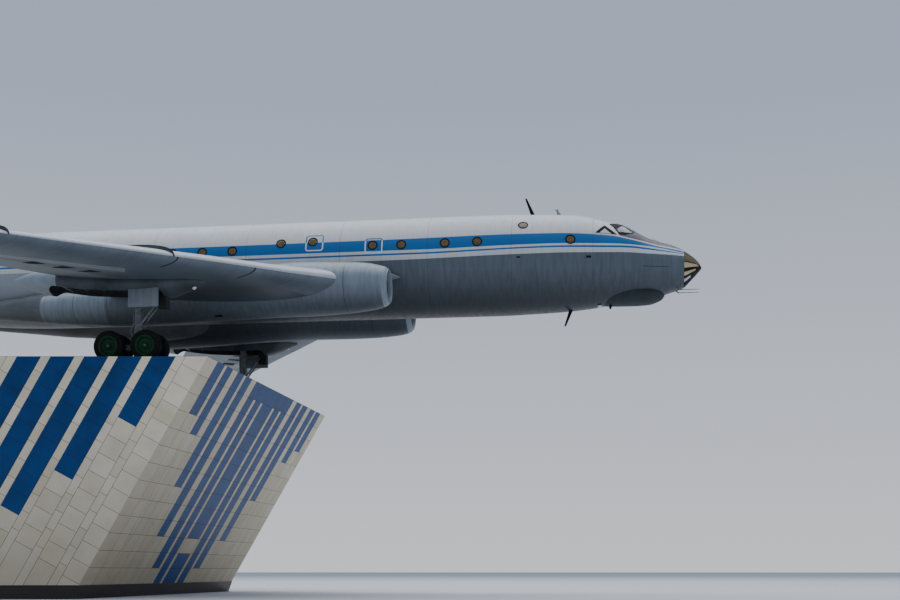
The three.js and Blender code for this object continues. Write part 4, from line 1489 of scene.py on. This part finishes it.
def leg_door(node, side):
    low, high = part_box(node)
    inner = low.y if side > 0 else high.y
    edges = sorted((inner, inner - side * RIB_DEEP))
    pieces = [block(low, high, 0.008, 3)]
    for share in RIB_SHARES:
        z = low.z + (high.z - low.z) * share
        pieces.append(block((low.x + RIB_INSET, edges[0], z - RIB_HALF),
                            (high.x - RIB_INSET, edges[1], z + RIB_HALF), 0.004, 1))
    gear_part(join(pieces), node, "panel", PALE)


def drag_brace(node, y):
    parts = []
    ends = [Vector((LEG_X + dx, y, AXIS_Z + dz)) for dx, dz in (BRACE_TOP, BRACE_LOW)]
    for out in (-BRACE_OUT, BRACE_OUT):
        start, stop = (end + Vector((0, out, 0)) for end in ends)
        parts.append(cone(start, stop, BRACE_R, sides=20))
        parts += [cross_pin(point, 0.035, 0.055) for point in (start, stop)]
    parts.append(cross_pin(ends[1], 0.15, 0.04))
    gear_part(join(parts), node, "bars")
    corners = [Vector((LEG_X + dx, y + dy, AXIS_Z + dz)) for dx, dy, dz in ANCHOR]
    gear_part(block(*corners, 0.05, 4), node, "anchor", BAY_DARK)


def bogie_beam(node, name, y):
    pieces = [block(*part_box(node), 0.05, 4)]
    for end in ("front", "rear"):
        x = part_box(f"wheels_{end}_{name}")[0].x + HUB_R
        pieces.append(cross_pin(Vector((x, y, WHEEL_Z)), 0.135, 0.105, 32))
    gear_part(join(pieces), node, "forging")


# Engine faces: guide vanes, a bullet and a plate in the intake, a cone and struts in the jet pipe,
# with the blades as inner and outer radius, thickness, chord and twist
BULLET = [(7.05, 0.015), (6.95, 0.09), (6.75, 0.155), (6.45, 0.20), (6.22, 0.21)]
TAIL_CONE = [(-1.2, 0.20), (-1.7, 0.19), (-2.2, 0.12), (-2.6, 0.03)]
ENGINE_FACES = [("intake", 6.30, BULLET, 22, (0.20, 0.598, 0.012, 0.12, 0.5), (-0.08, -0.10)),
                ("jet_pipe", -1.55, TAIL_CONE, 5, (0.18, 0.41, 0.02, 0.22, 0.0), None)]
PLATE_R = 0.6


def spokes(count, centre, inner, outer, thick, chord, twist):
    """Blades round an axis along X."""
    blades = []
    for k in range(count):
        blade = block((-chord / 2, -thick / 2, inner), (chord / 2, thick / 2, outer))
        turn = Matrix.Rotation(2 * math.pi * k / count, 4, "X") @ Matrix.Rotation(twist, 4, "Z")
        blade.data.transform(Matrix.Translation(centre) @ turn)
        blades.append(blade)
    return blades


def engines(name, side):
    for what, x, profile, count, blade, plate in ENGINE_FACES:
        _, out, _, mid, _ = row_at(DUCT, x)
        place = beside(side)

        def disc(rows, sides):
            return drawn([(place(at, out, mid), (1, r, r)) for at, r in rows], sides)

        parts = [disc(profile, 32), *spokes(count, place(x, out, mid), *blade)]
        if plate:
            parts.append(disc([(x + dx, PLATE_R) for dx in plate], 48))
        dress(join(parts), f"engine_{what}_{name}", ENGINE_METAL)


gear_pods()
wheels()
for name, side in SIDES.items():
    leg(f"leg_{name}", side * LEG_Y)
    leg_door(f"leg_door_{name}", side)
    drag_brace(f"drag_brace_{name}", side * LEG_Y)
    bogie_beam(f"bogie_beam_{name}", name, side * LEG_Y)
for name, side in SIDES.items():
    engines(name, side)

# CAD nodes that stay, with their finishes
for start, material in (("engine_", ENGINE_METAL), ("mast_", SEAL), ("plinth_skirting", GRANITE)):
    for name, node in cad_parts.items():
        if name.startswith(start):
            for slot in node.material_slots:
                slot.material = material

# Stage: a plain pale floor, soft light from a bright sky above, and the photograph's camera
FLOOR_HALF = 700
deselect()
bpy.ops.mesh.primitive_plane_add(size=2 * FLOOR_HALF)
floor = bpy.context.object
floor.name = "studio_floor"
coat(floor, plain("pale_studio_floor", "#cdced1", 0.9))

# The backdrop pales from a blue-grey top to a nearly white horizon
world = bpy.data.worlds.new("studio")
bpy.context.scene.world = world
world.use_nodes = True
sky = world.node_tree
direction = sky.nodes.new("ShaderNodeTexCoord").outputs["Generated"]
split = sky.nodes.new("ShaderNodeSeparateXYZ")
sky.links.new(direction, split.inputs[0])
fade = sky.nodes.new("ShaderNodeValToRGB")
sky.links.new(split.outputs[2], fade.inputs[0])
for number, (position, colour) in enumerate(((0.0, "#e0e3e9"), (0.35, "#abb6cc"))):
    stop = fade.color_ramp.elements[number]
    stop.position, stop.color = position, linear(colour)
sky.links.new(fade.outputs[0], sky.nodes["Background"].inputs["Color"])
sky.nodes["Background"].inputs["Strength"].default_value = 1.0


def stand(name, data, location, rotation):
    """An object of the stage, turned by degrees."""
    piece = bpy.data.objects.new(name, data)
    bpy.context.scene.collection.objects.link(piece)
    piece.location = location
    piece.rotation_euler = [math.radians(angle) for angle in rotation]
    return piece


light = bpy.data.lights.new("soft_key", "AREA")
light.energy, light.size = 120000, 120
stand("soft_key", light, (0, 20, 110), (-10, 0, 0))
camera = bpy.data.cameras.new("camera")
camera.lens, camera.sensor_width, camera.shift_y, camera.clip_end = 50.94, 36, 0.301, 2000
bpy.context.scene.camera = stand("camera", camera, (16.941, -45.039, 0.884), (90, 0, 8.006))
